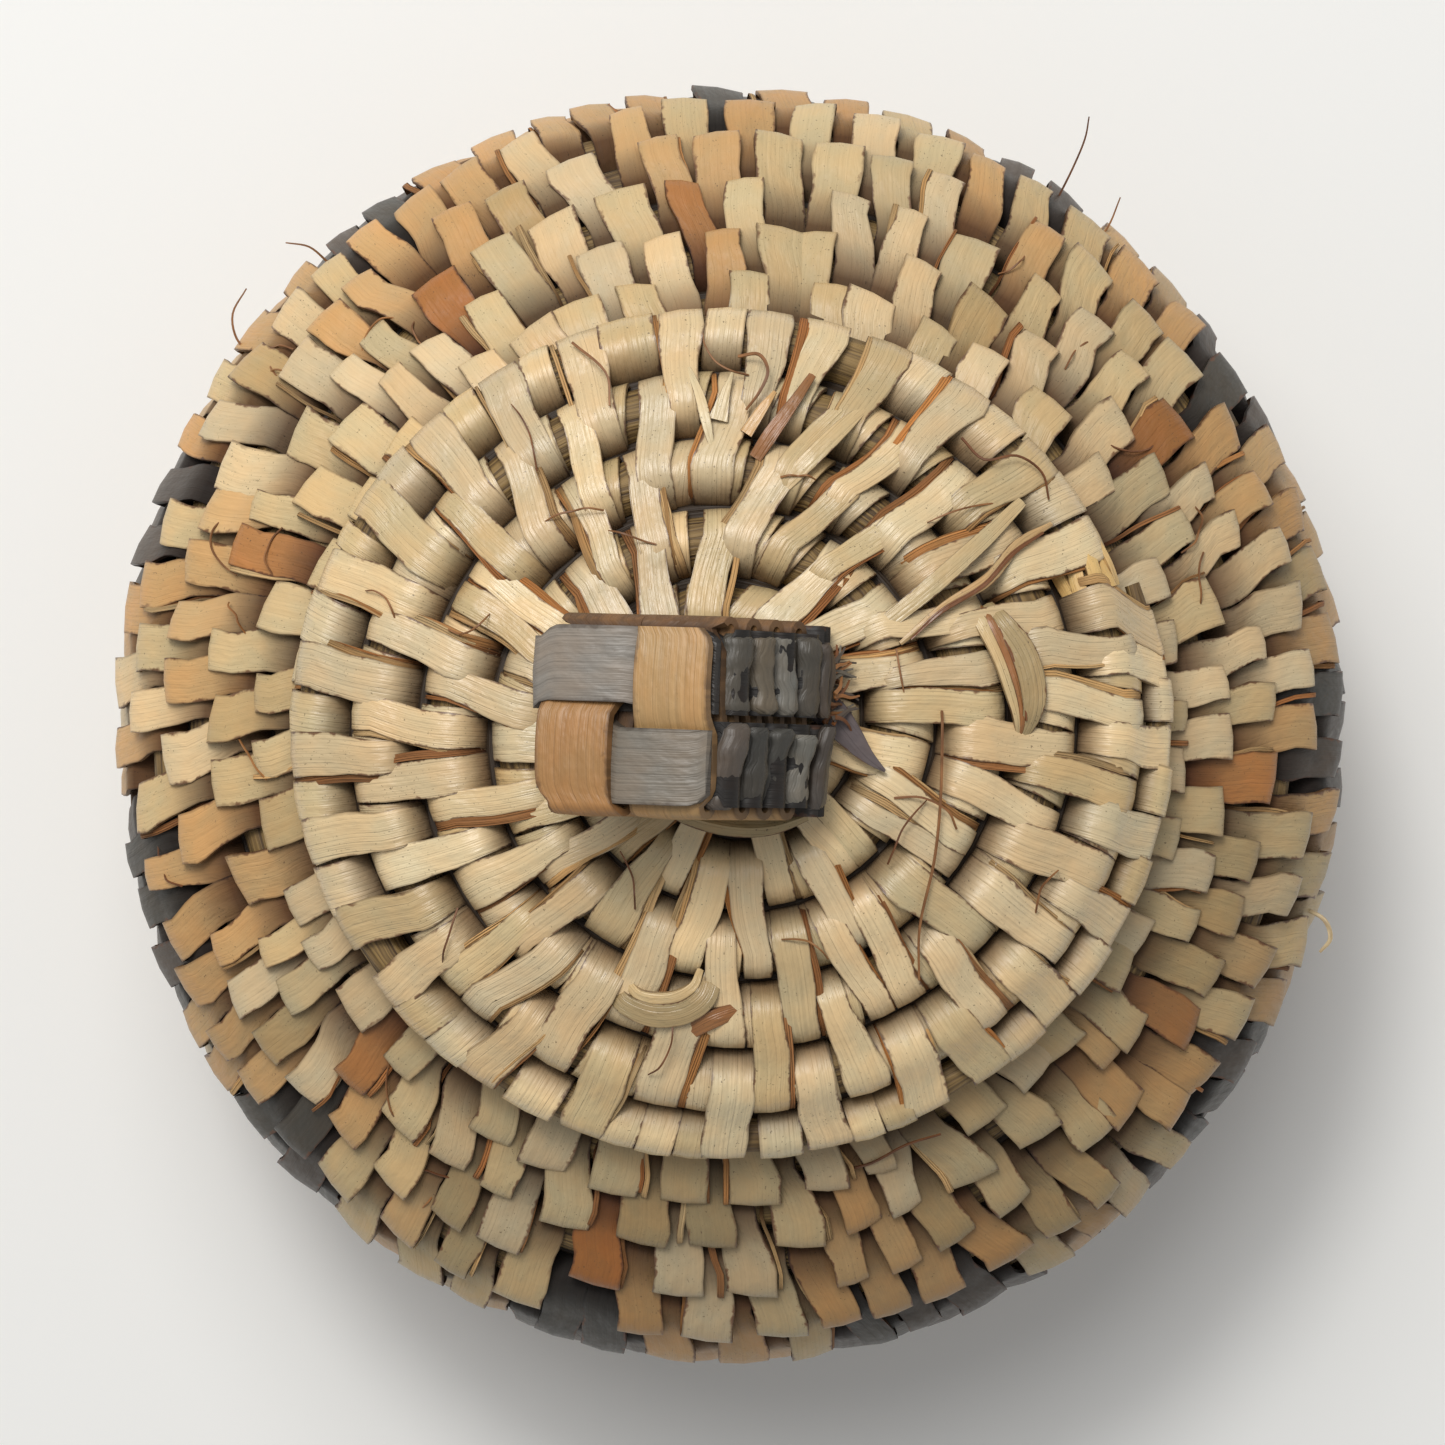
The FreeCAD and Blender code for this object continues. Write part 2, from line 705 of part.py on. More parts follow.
def main():
    os.makedirs("parts", exist_ok=True)
    basket = build_basket()
    lid, flange = build_lid(basket)
    build_knob(lid)
    print("rows in the basket", basket.turns, "and in the lid", lid.turns)
    print("mouth height", basket.point(basket.turns).z, "lid centre", lid.lift, "flange", flange.top)


main()
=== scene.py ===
"""Looks of a lidded coiled basket of palm fibre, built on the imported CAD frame.

Sizes are in millimetres until a mesh is made, and in metres after that. In the shapes of arrays
N counts strips or tubes, P the points of a path and K the points of a ring.
"""

import logging
import math
from collections.abc import Callable, Sequence
from dataclasses import dataclass, field, replace
from enum import Enum
from functools import partial, reduce

import bpy
import numpy as np
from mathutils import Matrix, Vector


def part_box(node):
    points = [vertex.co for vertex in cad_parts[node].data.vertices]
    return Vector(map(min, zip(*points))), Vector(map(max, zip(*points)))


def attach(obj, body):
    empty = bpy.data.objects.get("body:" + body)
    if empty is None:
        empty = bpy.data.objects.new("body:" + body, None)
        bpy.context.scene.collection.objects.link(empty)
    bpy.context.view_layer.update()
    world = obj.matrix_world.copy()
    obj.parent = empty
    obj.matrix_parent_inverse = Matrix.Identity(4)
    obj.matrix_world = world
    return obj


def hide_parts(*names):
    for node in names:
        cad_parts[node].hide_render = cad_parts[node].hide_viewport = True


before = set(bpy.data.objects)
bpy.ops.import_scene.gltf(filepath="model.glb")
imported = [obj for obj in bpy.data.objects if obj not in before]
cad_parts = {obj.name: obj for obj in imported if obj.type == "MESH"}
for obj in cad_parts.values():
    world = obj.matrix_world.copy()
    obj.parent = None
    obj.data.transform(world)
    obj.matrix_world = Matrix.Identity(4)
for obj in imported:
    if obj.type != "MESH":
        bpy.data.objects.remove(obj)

Array = np.ndarray
Rng = np.random.Generator
Material = bpy.types.Material
Tree = bpy.types.NodeTree
Number = Array | float
Pair = tuple[float, float]
Triple = tuple[float, float, float]
Row = tuple[float, ...]
Spot = tuple[float, float, float, float]

MM = 0.001
FULL_TURN = 2.0 * math.pi
SEED = 20260
SEED_SPREAD = 9.0
EAST, UP, SOUTH, DOWN = (np.array(v) for v in (
    (1.0, 0.0, 0.0), (0.0, 0.0, 1.0), (0.0, -1.0, 0.0), (0.0, 0.0, -1.0)))
log = logging.getLogger("basket")


# ---- colours


def linear(code: str) -> Triple:
    """Linear colour of an sRGB hex code, by the sRGB curve.

    Args:
        code: six hex digits.

    Returns:
        Red, green and blue in linear light.
    """
    parts = [int(code[k:k + 2], 16) / 255.0 for k in (0, 2, 4)]
    return tuple(c / 12.92 if c <= 0.04045 else ((c + 0.055) / 1.055) ** 2.4 for c in parts)


class Leaf(Enum):
    """Colours of palm leaf strips, as seen face on in full light."""

    CREAM = "e2cba0"
    STRAW = "d8c097"
    OAT = "ceb689"
    AGED = "b59c70"
    BLUSH = "c8a472"
    TAN = "c79f6b"
    HONEY = "c99d66"
    AMBER = "b07a46"
    RUSSET = "a66c36"
    BARK = "7a4c2a"
    SEPIA = "96663c"
    DARK = "544a41"
    CHARCOAL = "4b463e"
    SOOT = "2f2b28"
    GREY = "8c847b"
    TAIL = "655d60"
    STEM = "e0bc7c"
    SLATE = "7f776c"
    UMBER = "aa7f50"
    OCHRE = "b89363"
    ASH = "6f695e"
    FRAY = "a06c40"

    @property
    def rgb(self) -> Triple:
        """Linear colour."""
        return linear(self.value)


def varied(colours: Sequence[Sequence[float]], rng: Rng, spread: float) -> Array:
    """Colours times a chance brightness, and a chance warmth that raises red and lowers blue.

    Args:
        colours: linear colours.
        rng: source of chance.
        spread: largest share by which brightness changes.

    Returns:
        (N, 3) colours.
    """
    base = np.array(colours).reshape(-1, 3)
    light = 1.0 + rng.uniform(-1.0, 1.0, len(base)) * spread
    warm = rng.uniform(-1.0, 1.0, len(base)) * 0.35 * spread
    return base * light[:, None] * stacked(1.0 + warm, 1.0, 1.0 - 1.4 * warm)


def mixed_leaves(kinds: Sequence[Leaf], count: int, rng: Rng, spread: float) -> Array:
    """Varied colours of leaves picked by chance.

    Args:
        kinds: the leaves to pick from.
        count: number of colours.
        rng: source of chance.
        spread: largest share by which brightness changes.

    Returns:
        (N, 3) colours.
    """
    return varied([kinds[k].rgb for k in rng.integers(0, len(kinds), count)], rng, spread)


# ---- curves


def stacked(*parts: Number) -> Array:
    """Vectors made of their parts, which are stretched to one shape."""
    return np.stack(np.broadcast_arrays(*parts), axis=-1)


def unit(v: Array) -> Array:
    """Vectors at unit length."""
    return v / np.maximum(np.linalg.norm(v, axis=-1, keepdims=True), 1e-12)


def smooth_line(points: Array, steps: int) -> Array:
    """A Catmull-Rom line through points: on each stretch a cubic of its four nearest points.

    Args:
        points: the points, (P, K).
        steps: places to each stretch.

    Returns:
        Places on the line, with K values each.
    """
    ends = (2.0 * points[:1] - points[1:2], points, 2.0 * points[-1:] - points[-2:-1])
    padded = np.concatenate(ends)
    t = (np.arange(steps) / steps)[:, None]
    found = [0.5 * (2.0 * b + (c - a) * t + (2.0 * a - 5.0 * b + 4.0 * c - d) * t ** 2
                    + (3.0 * b - a - 3.0 * c + d) * t ** 3)
             for a, b, c, d in zip(padded, padded[1:], padded[2:], padded[3:])]
    return np.concatenate(found + [points[-1:]])


@dataclass
class Meridian:
    """A curve in the plane of radius and height, made of straight and round stretches."""

    angle: float
    length: float = 0.0
    stretches: list[Row] = field(default_factory=list)
    end: Row = field(init=False)

    def __post_init__(self) -> None:
        """Starts the curve on the axis, in the direction of its angle."""
        self.end = (0.0, 0.0, self.angle)

    def add(self, length: float, curvature: float) -> None:
        """Adds a stretch.

        Args:
            length: its length.
            curvature: how fast it turns left.
        """
        self.stretches.append((self.length, *self.end, curvature))
        self.end = tuple(float(v) for v in self.along(self.stretches[-1], np.array(length)))
        self.length += length

    def bend(self, radius: float, end_angle: float) -> None:
        """Adds an arc.

        Args:
            radius: radius of the arc.
            end_angle: direction in which it ends, in radians.
        """
        turn = end_angle - self.end[2]
        self.add(abs(turn) * radius, math.copysign(1.0 / radius, turn))

    @staticmethod
    def along(stretch: Row, distance: Array) -> tuple[Array, ...]:
        """Places on one stretch: the start plus the integral of cosine and sine of the direction.

        Args:
            stretch: its start along the curve, radius, height, direction and curvature.
            distance: distances from its start.

        Returns:
            Radius, height and direction.
        """
        _, radius, height, angle, curvature = stretch
        if curvature == 0.0:
            return (radius + distance * math.cos(angle), height + distance * math.sin(angle),
                    angle + 0.0 * distance)
        end = angle + curvature * distance
        return (radius + (np.sin(end) - math.sin(angle)) / curvature,
                height + (math.cos(angle) - np.cos(end)) / curvature, end)

    def at(self, distance: Array) -> tuple[Array, ...]:
        """Places on the whole curve.

        Args:
            distance: distances from its start.

        Returns:
            Radius, height and direction.
        """
        found = self.along(self.stretches[0], distance)
        for stretch in self.stretches[1:]:
            own = self.along(stretch, distance - stretch[0])
            found = tuple(np.where(distance >= stretch[0], b, a) for a, b in zip(found, own))
        return found


@dataclass
class Frames:
    """Places on a coil, their directions down the rows, along and out, and the bundle's radius."""

    origin: Array
    down: Array
    along: Array
    out: Array
    size: Array


@dataclass
class Coil:
    """A bundle wound along a meridian, one pitch further with each turn. Its last turn tapers.

    A point lies at the meridian's radius and height for start + pitch times turn, turned round the
    axis by the angle of that turn. An ovality above 0 narrows it from east to west and lengthens it
    from north to south, the less or the more so the further it is from oval_middle. Where upward is
    set, down leads to the next turn, and otherwise to the one before.
    """

    meridian: Meridian
    start: float
    pitch: float
    radius: float
    end_angle: float
    ovality: float
    oval_middle: float = 0.0
    oval_fades: bool = False
    upward: bool = False
    taper: float = 0.85
    taper_power: float = 1.0
    lift: float = 0.0
    full_turns: float = field(init=False)
    turns: float = field(init=False)
    phase: float = field(init=False)

    def __post_init__(self) -> None:
        """Works out the turns that fit on the meridian, and the angle at which they start."""
        cut = self.radius * self.taper
        self.full_turns = (self.meridian.length - self.start - self.pitch + cut) / self.pitch
        self.turns = self.full_turns + 1.0
        self.phase = math.radians(self.end_angle) - FULL_TURN * self.turns

    def thinned(self, turn: Array) -> Array:
        """Share of the bundle's radius that is gone."""
        return self.taper * np.maximum(0.0, turn - self.full_turns) ** self.taper_power

    def distance(self, turn: Array) -> Array:
        """Distance along the meridian."""
        return self.start + self.pitch * turn - self.radius * self.thinned(turn)

    def angle(self, turn: Array) -> Array:
        """Angle round the axis, in radians."""
        return self.phase + FULL_TURN * turn

    def degrees(self, turn: Array) -> Array:
        """Angle round the axis, in degrees."""
        return np.degrees(self.angle(turn))

    def turn_at_angle(self, degrees: float) -> float:
        """The last turn that passes an angle."""
        return self.turns - ((self.end_angle - degrees) % 360.0) / 360.0

    def point(self, turn: Array) -> Array:
        """Middle of the bundle.

        Args:
            turn: turns along the coil.

        Returns:
            Points, one to each turn.
        """
        distance = self.distance(turn)
        radius, height, _ = self.meridian.at(distance)
        share = np.abs(distance - self.oval_middle) / (self.meridian.length - self.oval_middle)
        oval = self.ovality * (np.maximum(0.0, 1.0 - share ** 2) if self.oval_fades else share)
        angle = self.angle(turn)
        return stacked(radius * (1.0 - oval) * np.cos(angle), radius * (1.0 + oval) * np.sin(angle),
                       height + self.lift)

    def frames(self, turn: Array) -> Frames:
        """Places and directions at turns: along by differences, down by the meridian's direction.

        Args:
            turn: turns along the coil.

        Returns:
            The frames.
        """
        step = 0.002
        along = unit(self.point(turn + step) - self.point(turn - step))
        _, _, lean = self.meridian.at(self.distance(turn))
        angle = self.angle(turn)
        way = stacked(np.cos(lean) * np.cos(angle), np.cos(lean) * np.sin(angle), np.sin(lean))
        if not self.upward:
            way = -way
        down = unit(way - along * np.sum(way * along, axis=-1, keepdims=True))
        size = self.radius * (1.0 - self.thinned(turn))
        return Frames(self.point(turn), down, along, np.cross(down, along), size)

    def reach(self, turn: Array) -> Array:
        """Distance from the axis."""
        return np.linalg.norm(self.point(turn)[..., :2], axis=-1)


@dataclass(frozen=True)
class BasketForm:
    """Sizes of the basket's wall from the middle of its base to its mouth, as in the CAD model."""

    base_slope: float = -3.0
    base_reach: float = 0.571 * 70.0
    foot_radius: float = 9.0
    wall_slope: float = 30.0
    belly_reach: float = 66.8
    belly_height: float = 7.0
    shoulder_radius: float = 18.0
    shoulder_slope: float = 144.0
    mouth_reach: float = 38.5
    foot_height: float = 2.1

    def coil(self) -> Coil:
        """The basket's own coil.

        Returns:
            The coil, its lowest turn one bundle's height above the floor.
        """
        wall, shoulder = math.radians(self.wall_slope), math.radians(self.shoulder_slope)
        curve = Meridian(math.radians(self.base_slope))
        curve.add(self.base_reach, 0.0)
        curve.bend(self.foot_radius, wall)
        curve.bend((self.belly_reach - curve.end[0]) / (1.0 - math.sin(wall)), math.radians(90.0))
        low = curve.length
        curve.add(self.belly_height, 0.0)
        curve.bend(self.shoulder_radius, shoulder)
        middle = 0.5 * (low + curve.length)
        curve.add((curve.end[0] - self.mouth_reach) / math.cos(math.pi - shoulder), 0.0)
        coil = Coil(curve, start=5.2, pitch=6.6, radius=2.6, end_angle=200.0, ovality=0.019,
                    oval_middle=middle, oval_fades=True)
        heights = coil.point(np.linspace(0.0, coil.full_turns, 1500))[:, 2]
        coil.lift = self.foot_height - heights.min()
        return coil


@dataclass(frozen=True)
class LidForm:
    """Sizes of the lid's dome."""

    dome_radius: float = 100.0
    reach: float = 44.9
    strip_height: float = 4.3

    def coil(self, top: float) -> Coil:
        """The lid's coil, wound along an arc from the axis outwards.

        Args:
            top: height of the middle of its bundle at the axis.

        Returns:
            The coil.
        """
        curve = Meridian(0.0)
        curve.bend(self.dome_radius, -math.asin(self.reach / self.dome_radius))
        return Coil(curve, start=6.8, pitch=7.73, radius=3.1, end_angle=20.0, ovality=-0.015,
                    upward=True, taper=0.72, taper_power=2.5, lift=top)


# ---- meshes


@dataclass
class Shell:
    """Vertices, faces, end caps and named values of one mesh, in millimetres."""

    vertices: Array
    faces: Array
    place: Array
    tint: Array
    edge: Array
    caps: list[Array]

    def joined(self, other: "Shell") -> "Shell":
        """This shell and another as one.

        Args:
            other: the other, whose vertex numbers are raised by this one's count.

        Returns:
            The whole.
        """
        shift = len(self.vertices)
        moved = replace(other, faces=other.faces + shift)
        whole = [np.concatenate([getattr(self, name), getattr(moved, name)])
                 for name in ("vertices", "faces", "place", "tint", "edge")]
        return Shell(*whole, self.caps + [cap + shift for cap in other.caps])


def carried(centre: Array, first: Array, second: Array, u: Array, v: Array, around: Array,
            tint: Array, tuck: Number, seed: Array, edge: Array, loop: bool, flip: bool) -> Shell:
    """Rings carried along paths: path point + u times the first direction + v times the second.

    Args:
        centre: path points, (N, P, 3).
        first: first direction at each, (N, P, 3).
        second: second direction at each, (N, P, 3).
        u: ring points along the first direction, (N, P, K).
        v: ring points along the second direction, (N, P, K).
        around: place of each point round its ring, (N, P, K).
        tint: colours, (N, 3) or (N, P, 3).
        tuck: how far a place is hidden in the work, 0 to 1, which sets its painted shade, (N, P) or
            one value.
        seed: a number for each path, (N,).
        edge: 1 at the strip's edges and 0 at its middle, (K,).
        loop: whether the path closes on itself, and otherwise it is capped.
        flip: whether a face steps round the ring before it steps along.

    Returns:
        One closed shell to each path.
    """
    count, steps, ring = u.shape
    points = (centre[..., None, :] + first[..., None, :] * u[..., None]
              + second[..., None, :] * v[..., None])
    step = np.linalg.norm(np.diff(centre, axis=1), axis=-1)
    run = np.concatenate([np.zeros((count, 1)), np.cumsum(step, axis=1)], axis=1)
    place = stacked(around, run[..., None], seed[:, None, None])
    tint = tint if tint.ndim == 3 else tint[:, None]
    tuck = np.broadcast_to(tuck, (count, steps))[..., None, None]
    colour = np.concatenate([np.broadcast_to(tint[:, :, None], (count, steps, ring, 3)),
                             np.broadcast_to(tuck, (count, steps, ring, 1))], axis=-1)
    i, j = np.meshgrid(np.arange(steps if loop else steps - 1), np.arange(ring), indexing="ij")
    i, j = i.ravel(), j.ravel()
    i2, j2 = (i + 1) % steps, (j + 1) % ring
    quad = stacked(i * ring + j, i2 * ring + j, i2 * ring + j2, i * ring + j2)
    order = np.arange(ring)
    if flip:
        quad, order = quad[:, ::-1], order[::-1]
    starts = np.arange(count) * steps * ring
    faces = (quad[None] + starts[:, None, None]).reshape(-1, 4)
    last = (steps - 1) * ring
    caps = [] if loop else [
        cap for start in starts for cap in (start + order, start + last + order[::-1])]
    return Shell(points.reshape(-1, 3), faces, place.reshape(-1, 3), colour.reshape(-1, 4),
                 np.tile(edge, count * steps), caps)


def sweep(centre: Array, out: Array, along: Array, half: Array, thickness: float, crown: Number,
          tint: Array, tuck: Number, seed: Array, loop: bool, twist: Array | None = None) -> Shell:
    """Flat strips swept along paths, each a closed shell with a ridge along its face's middle.

    Args:
        centre, tint, tuck, seed, loop: as in carried.
        out: direction that the strip's face looks in, (N, P, 3).
        along: direction across the strip's width, (N, P, 3).
        half: half of the width, (N, P).
        thickness: thickness of the strip.
        crown: how far the middle bulges over the edges, (N, P) or one value.
        twist: turn of the strip about its path in radians, (N, P).

    Returns:
        One shell of all strips.
    """
    across = np.array([-1.0, 0.0, 1.0, 1.0, -1.0])
    level = np.array([0.5, 0.5, 0.5, -0.5, -0.5])
    ridge = np.array([0.0, 1.0, 0.0, 0.0, 0.0])
    if twist is not None:
        turned = unit(along + out * np.tan(twist)[..., None])
        out = unit(out - along * np.tan(twist)[..., None])
        along = turned
    u = across * half[..., None]
    v = level * thickness + ridge * np.broadcast_to(crown, half.shape)[..., None]
    return carried(centre, along, out, u, v, u, tint, tuck, seed, np.abs(across), loop, False)


def tubes(centre: Array, first: Array, second: Array, radius: Array, sides: int, tint: Array,
          seed: Array, lobes: int = 0, lobe_depth: float = 0.0, lobe_turn: Number = 0.0,
          tuck: Number = 0.0) -> Shell:
    """Tubes along paths, capped. The radius falls by the depth between lobes, by a cosine's size.

    Args:
        centre, first, second, tint, seed, tuck: as in carried.
        radius: radius at each point, (N, P).
        sides: points of each ring.
        lobes: number of stems that bulge out of the ring.
        lobe_depth: depth of the furrows between them, as a share of the radius.
        lobe_turn: how far the stems have wound round the bundle at each point, (N, P).

    Returns:
        One shell of all tubes.
    """
    angle = np.broadcast_to(np.arange(sides) / sides * FULL_TURN, (*radius.shape, sides))
    size = radius[..., None] * np.ones(sides)
    if lobes:
        wound = np.broadcast_to(lobe_turn, radius.shape)[..., None]
        size = size * (1.0 - lobe_depth * (1.0 - np.abs(np.cos(0.5 * lobes * (angle - wound)))))
    return carried(centre, first, second, np.cos(angle) * size, np.sin(angle) * size,
                   np.abs(angle - math.pi) * radius[..., None], tint, tuck, seed,
                   np.zeros(sides), False, True)


# ---- finishes

TIMES = {"operation": "MULTIPLY"}
TIMES_PLUS = {"operation": "MULTIPLY_ADD"}
MINUS = {"operation": "SUBTRACT"}
BLEND = {"data_type": "RGBA"}
DARKEN = {"data_type": "RGBA", "blend_type": "MULTIPLY"}


def node(tree: Tree, kind: str, inputs: Sequence | dict = (), **settings: object) -> bpy.types.Node:
    """Adds a shader node with its settings and links.

    Args:
        tree: node tree.
        kind: node type, without its ShaderNode prefix.
        inputs: numbers, colours, sockets or nodes, by name or in the order of the sockets in use.
            A node gives its first output in use.
        settings: the node's own properties.

    Returns:
        The node.
    """
    made = tree.nodes.new("ShaderNode" + kind)
    for key, value in settings.items():
        setattr(made, key, value)
    if isinstance(inputs, dict):
        pairs = [(made.inputs[key], value) for key, value in inputs.items()]
    else:
        pairs = list(zip([s for s in made.inputs if s.enabled], inputs))
    for socket, value in pairs:
        if isinstance(value, bpy.types.Node):
            value = next(s for s in value.outputs if s.enabled)
        if isinstance(value, bpy.types.NodeSocket):
            tree.links.new(value, socket)
        else:
            socket.default_value = (*value, 1.0) if socket.type == "RGBA" else value
    return made


def streaks(tree: Tree, place: bpy.types.NodeSocket, size: Pair,
            detail: float) -> bpy.types.Node:
    """Noise drawn out along a strip, at its place over the streaks' size.

    Args:
        tree: node tree.
        place: socket with millimetres across, millimetres along and the strip's seed.
        size: size of the streaks across and along the strip, in millimetres.
        detail: octaves.

    Returns:
        The noise.
    """
    seed_step = 17.3
    scaled = node(tree, "VectorMath", (place, (1.0 / size[0], 1.0 / size[1], seed_step)), **TIMES)
    return node(tree, "TexNoise", {"Vector": scaled, "Scale": 1.0, "Detail": detail})


@dataclass(frozen=True)
class Finish:
    """A material: one shader that gets its inputs from looks."""

    name: str

    def looks(self, tree: Tree) -> dict:
        """The shader's inputs by name."""
        raise NotImplementedError(self.name)

    def build(self) -> Material:
        """Makes the material.

        Returns:
            The material.
        """
        material = bpy.data.materials.new(self.name)
        material.use_nodes = True
        tree = material.node_tree
        tree.nodes.clear()
        surface = node(tree, "BsdfPrincipled", self.looks(tree))
        node(tree, "OutputMaterial", {"Surface": surface})
        return material


@dataclass(frozen=True)
class PalmStripFinish(Finish):
    """Dried palm leaf: satin skin with fine veins, small dark pits and torn red-brown edges.
    Its tucks and edges carry painted shade.

    A leaf's veins are about 1 mm apart with a fainter one between, so lines lie 0.5 mm apart.
    The fibres between them, under 0.1 mm, are drawn 0.14 mm wide, so that they show.
    """

    vein_spacing: float = 0.5
    vein_contrast: float = 0.05
    streak_contrast: float = 0.10
    pits: float = 0.7
    fray: float = 0.85
    fray_colour: str = "6d4225"
    pit_colour: str = "54402a"
    roughness: float = 0.40
    tuck_roughness: float = 0.5
    vein_depth: float = 0.00004
    crinkle_depth: float = 0.00025
    # Painted shade in tucks and along edges: its share and its colour.
    shade_in_tucks: float = 0.9
    painted_shade_colour: str = "523620"
    sheen: float = 0.5
    wander: float = 6.0
    painted_edge_shade: float = 0.5
    warm: Triple = (1.04, 0.97, 0.90)
    cool: Triple = (0.94, 0.96, 0.97)
    fibre_size: Pair = (0.14, 12.0)
    streak_size: Pair = (0.7, 20.0)
    patch_size: Pair = (3.0, 4.5)
    pit_size: Pair = (0.22, 0.30)
    ragged_size: Pair = (0.9, 0.9)
    torn_size: Pair = (1.9, 5.0)
    crinkle_size: Pair = (1.1, 2.6)

    def looks(self, tree: Tree) -> dict:
        """Tint times veins and streaks, with pits, torn edges, painted shade along the edges and
        painted shade in tucks laid over it.

        Args:
            tree: node tree.

        Returns:
            The shader's inputs by name.
        """
        add = partial(node, tree)
        place = add("Attribute", attribute_name="place").outputs["Vector"]
        tint = add("Attribute", attribute_name="tint")
        edge = add("Attribute", attribute_name="edge").outputs["Fac"]
        across = add("SeparateXYZ", (place,))
        fine = streaks(tree, place, self.fibre_size, 2.0)
        broad = streaks(tree, place, self.streak_size, 2.0)
        patch = streaks(tree, place, self.patch_size, 2.0)
        # Veins: a sine across the strip that wanders with the broad streaks, sharpened by a power.
        phase = add("Math", (across, FULL_TURN / self.vein_spacing), **TIMES)
        phase = add("Math", (broad, self.wander, phase), **TIMES_PLUS)
        wave = add("Math", (phase,), operation="SINE")
        vein = add("Math", (wave, 0.5, 0.5), **TIMES_PLUS)
        vein = add("Math", (vein, 9.0), operation="POWER")
        vein = add("Math", (vein, add("MapRange", (broad, 0.35, 0.6))), **TIMES)
        # Brightness: 1 plus both streaks about their mean, less the veins.
        light = add("Math", (add("Math", (fine, 0.5), **MINUS), 2.0 * self.streak_contrast, 1.0),
                    **TIMES_PLUS)
        light = add("Math", (add("Math", (broad, 0.5), **MINUS), 1.6 * self.streak_contrast, light),
                    **TIMES_PLUS)
        light = add("Math", (light, add("Math", (vein, self.vein_contrast), **TIMES)), **MINUS)
        skin = add("VectorMath", (tint, light), operation="SCALE")
        warm = add("Mix", (1.0, skin, self.warm), **DARKEN)
        cool = add("Mix", (1.0, skin, self.cool), **DARKEN)
        colour = add("Mix", (add("MapRange", (patch, 0.35, 0.65)), warm, cool), **BLEND)
        # Pits: the peaks of a fine noise, only where the patches are.
        fleck = streaks(tree, place, self.pit_size, 1.0)
        spots = add("Math", (add("MapRange", (fleck, 0.69, 0.75)),
                             add("MapRange", (patch, 0.40, 0.55))), **TIMES)
        # Torn edge: where edge plus a ragged noise comes near 1, on some stretches.
        ragged = streaks(tree, place, self.ragged_size, 3.0)
        stretch = streaks(tree, place, self.torn_size, 1.0)
        reach = add("Math", (add("Math", (ragged, 0.5), **MINUS), 0.5, edge), **TIMES_PLUS)
        torn = add("Math", (add("MapRange", (reach, 0.90, 0.99)),
                            add("MapRange", (stretch, 0.44, 0.56))), **TIMES)
        # Painted shade along the strip's edges, where neighbouring strips meet.
        rim = add("MapRange", (edge, 0.90, 1.0))
        # Tucks: painted shade, darker and duller, by the tint's fourth value.
        tucks = tint.outputs["Alpha"]
        for mask, most, code, way in ((spots, self.pits, self.pit_colour, BLEND),
                                      (torn, self.fray, self.fray_colour, BLEND),
                                      (rim, self.painted_edge_shade, self.painted_shade_colour, DARKEN),
                                      (tucks, self.shade_in_tucks, self.painted_shade_colour, DARKEN)):
            share = add("Math", (mask, most), **TIMES)
            colour = add("Mix", (share, colour, linear(code)), **way)
        rough = add("Math", (broad, 0.25, self.roughness - 0.08), **TIMES_PLUS)
        rough = add("Math", (share, self.tuck_roughness, rough), **TIMES_PLUS)
        crinkle = streaks(tree, place, self.crinkle_size, 2.0)
        height = add("Math", (fine, add("Math", (vein, 0.5), **TIMES)), **MINUS)
        bump = add("Bump", {"Strength": 1.0, "Distance": self.vein_depth, "Height": height})
        waves = add("Bump", {"Strength": 1.0, "Distance": self.crinkle_depth, "Height": crinkle,
                             "Normal": bump})
        return {"Base Color": colour, "Roughness": rough, "Specular IOR Level": self.sheen,
                "Normal": waves}


@dataclass(frozen=True)
class FibreBundleFinish(Finish):
    """The foundation: a bunch of thin yellow grass and palm fibres, dull and ribbed, coloured
    darker than its stems, partly as painted shade in the gaps.
    """

    # The colours are the fibres' own, darkened so the gaps between strips read dark: partly painted
    # shade.
    colour: str = "937748"
    shade: str = "48341d"
    patch_colour: str = "765c39"
    furrow_shade: str = "34271a"
    strand_size: Pair = (0.32, 14.0)
    patch_size: Pair = (1.4, 5.0)
    depth: float = 0.00022
    roughness: float = 0.62

    def looks(self, tree: Tree) -> dict:
        """Light and dark strands, brown patches, and painted shade on the cord sunk in the furrows.

        Args:
            tree: node tree.

        Returns:
            The shader's inputs by name.
        """
        add = partial(node, tree)
        place = add("Attribute", attribute_name="place").outputs["Vector"]
        tint = add("Attribute", attribute_name="tint")
        strands = streaks(tree, place, self.strand_size, 3.0)
        patches = streaks(tree, place, self.patch_size, 2.0)
        light = add("MapRange", (strands, 0.34, 0.6))
        colour = add("Mix", (light, linear(self.shade), linear(self.colour)), **BLEND)
        brown = add("Math", (add("MapRange", (patches, 0.5, 0.75)), 0.5), **TIMES)
        colour = add("Mix", (brown, colour, linear(self.patch_colour)), **BLEND)
        # Painted shade: the sunk cord, whose tint's fourth value is 1, takes the dark furrow
        # colour.
        colour = add("Mix", (tint.outputs["Alpha"], colour, linear(self.furrow_shade)), **BLEND)
        bump = add("Bump", {"Strength": 1.0, "Distance": self.depth, "Height": strands})
        return {"Base Color": colour, "Roughness": self.roughness, "Normal": bump}


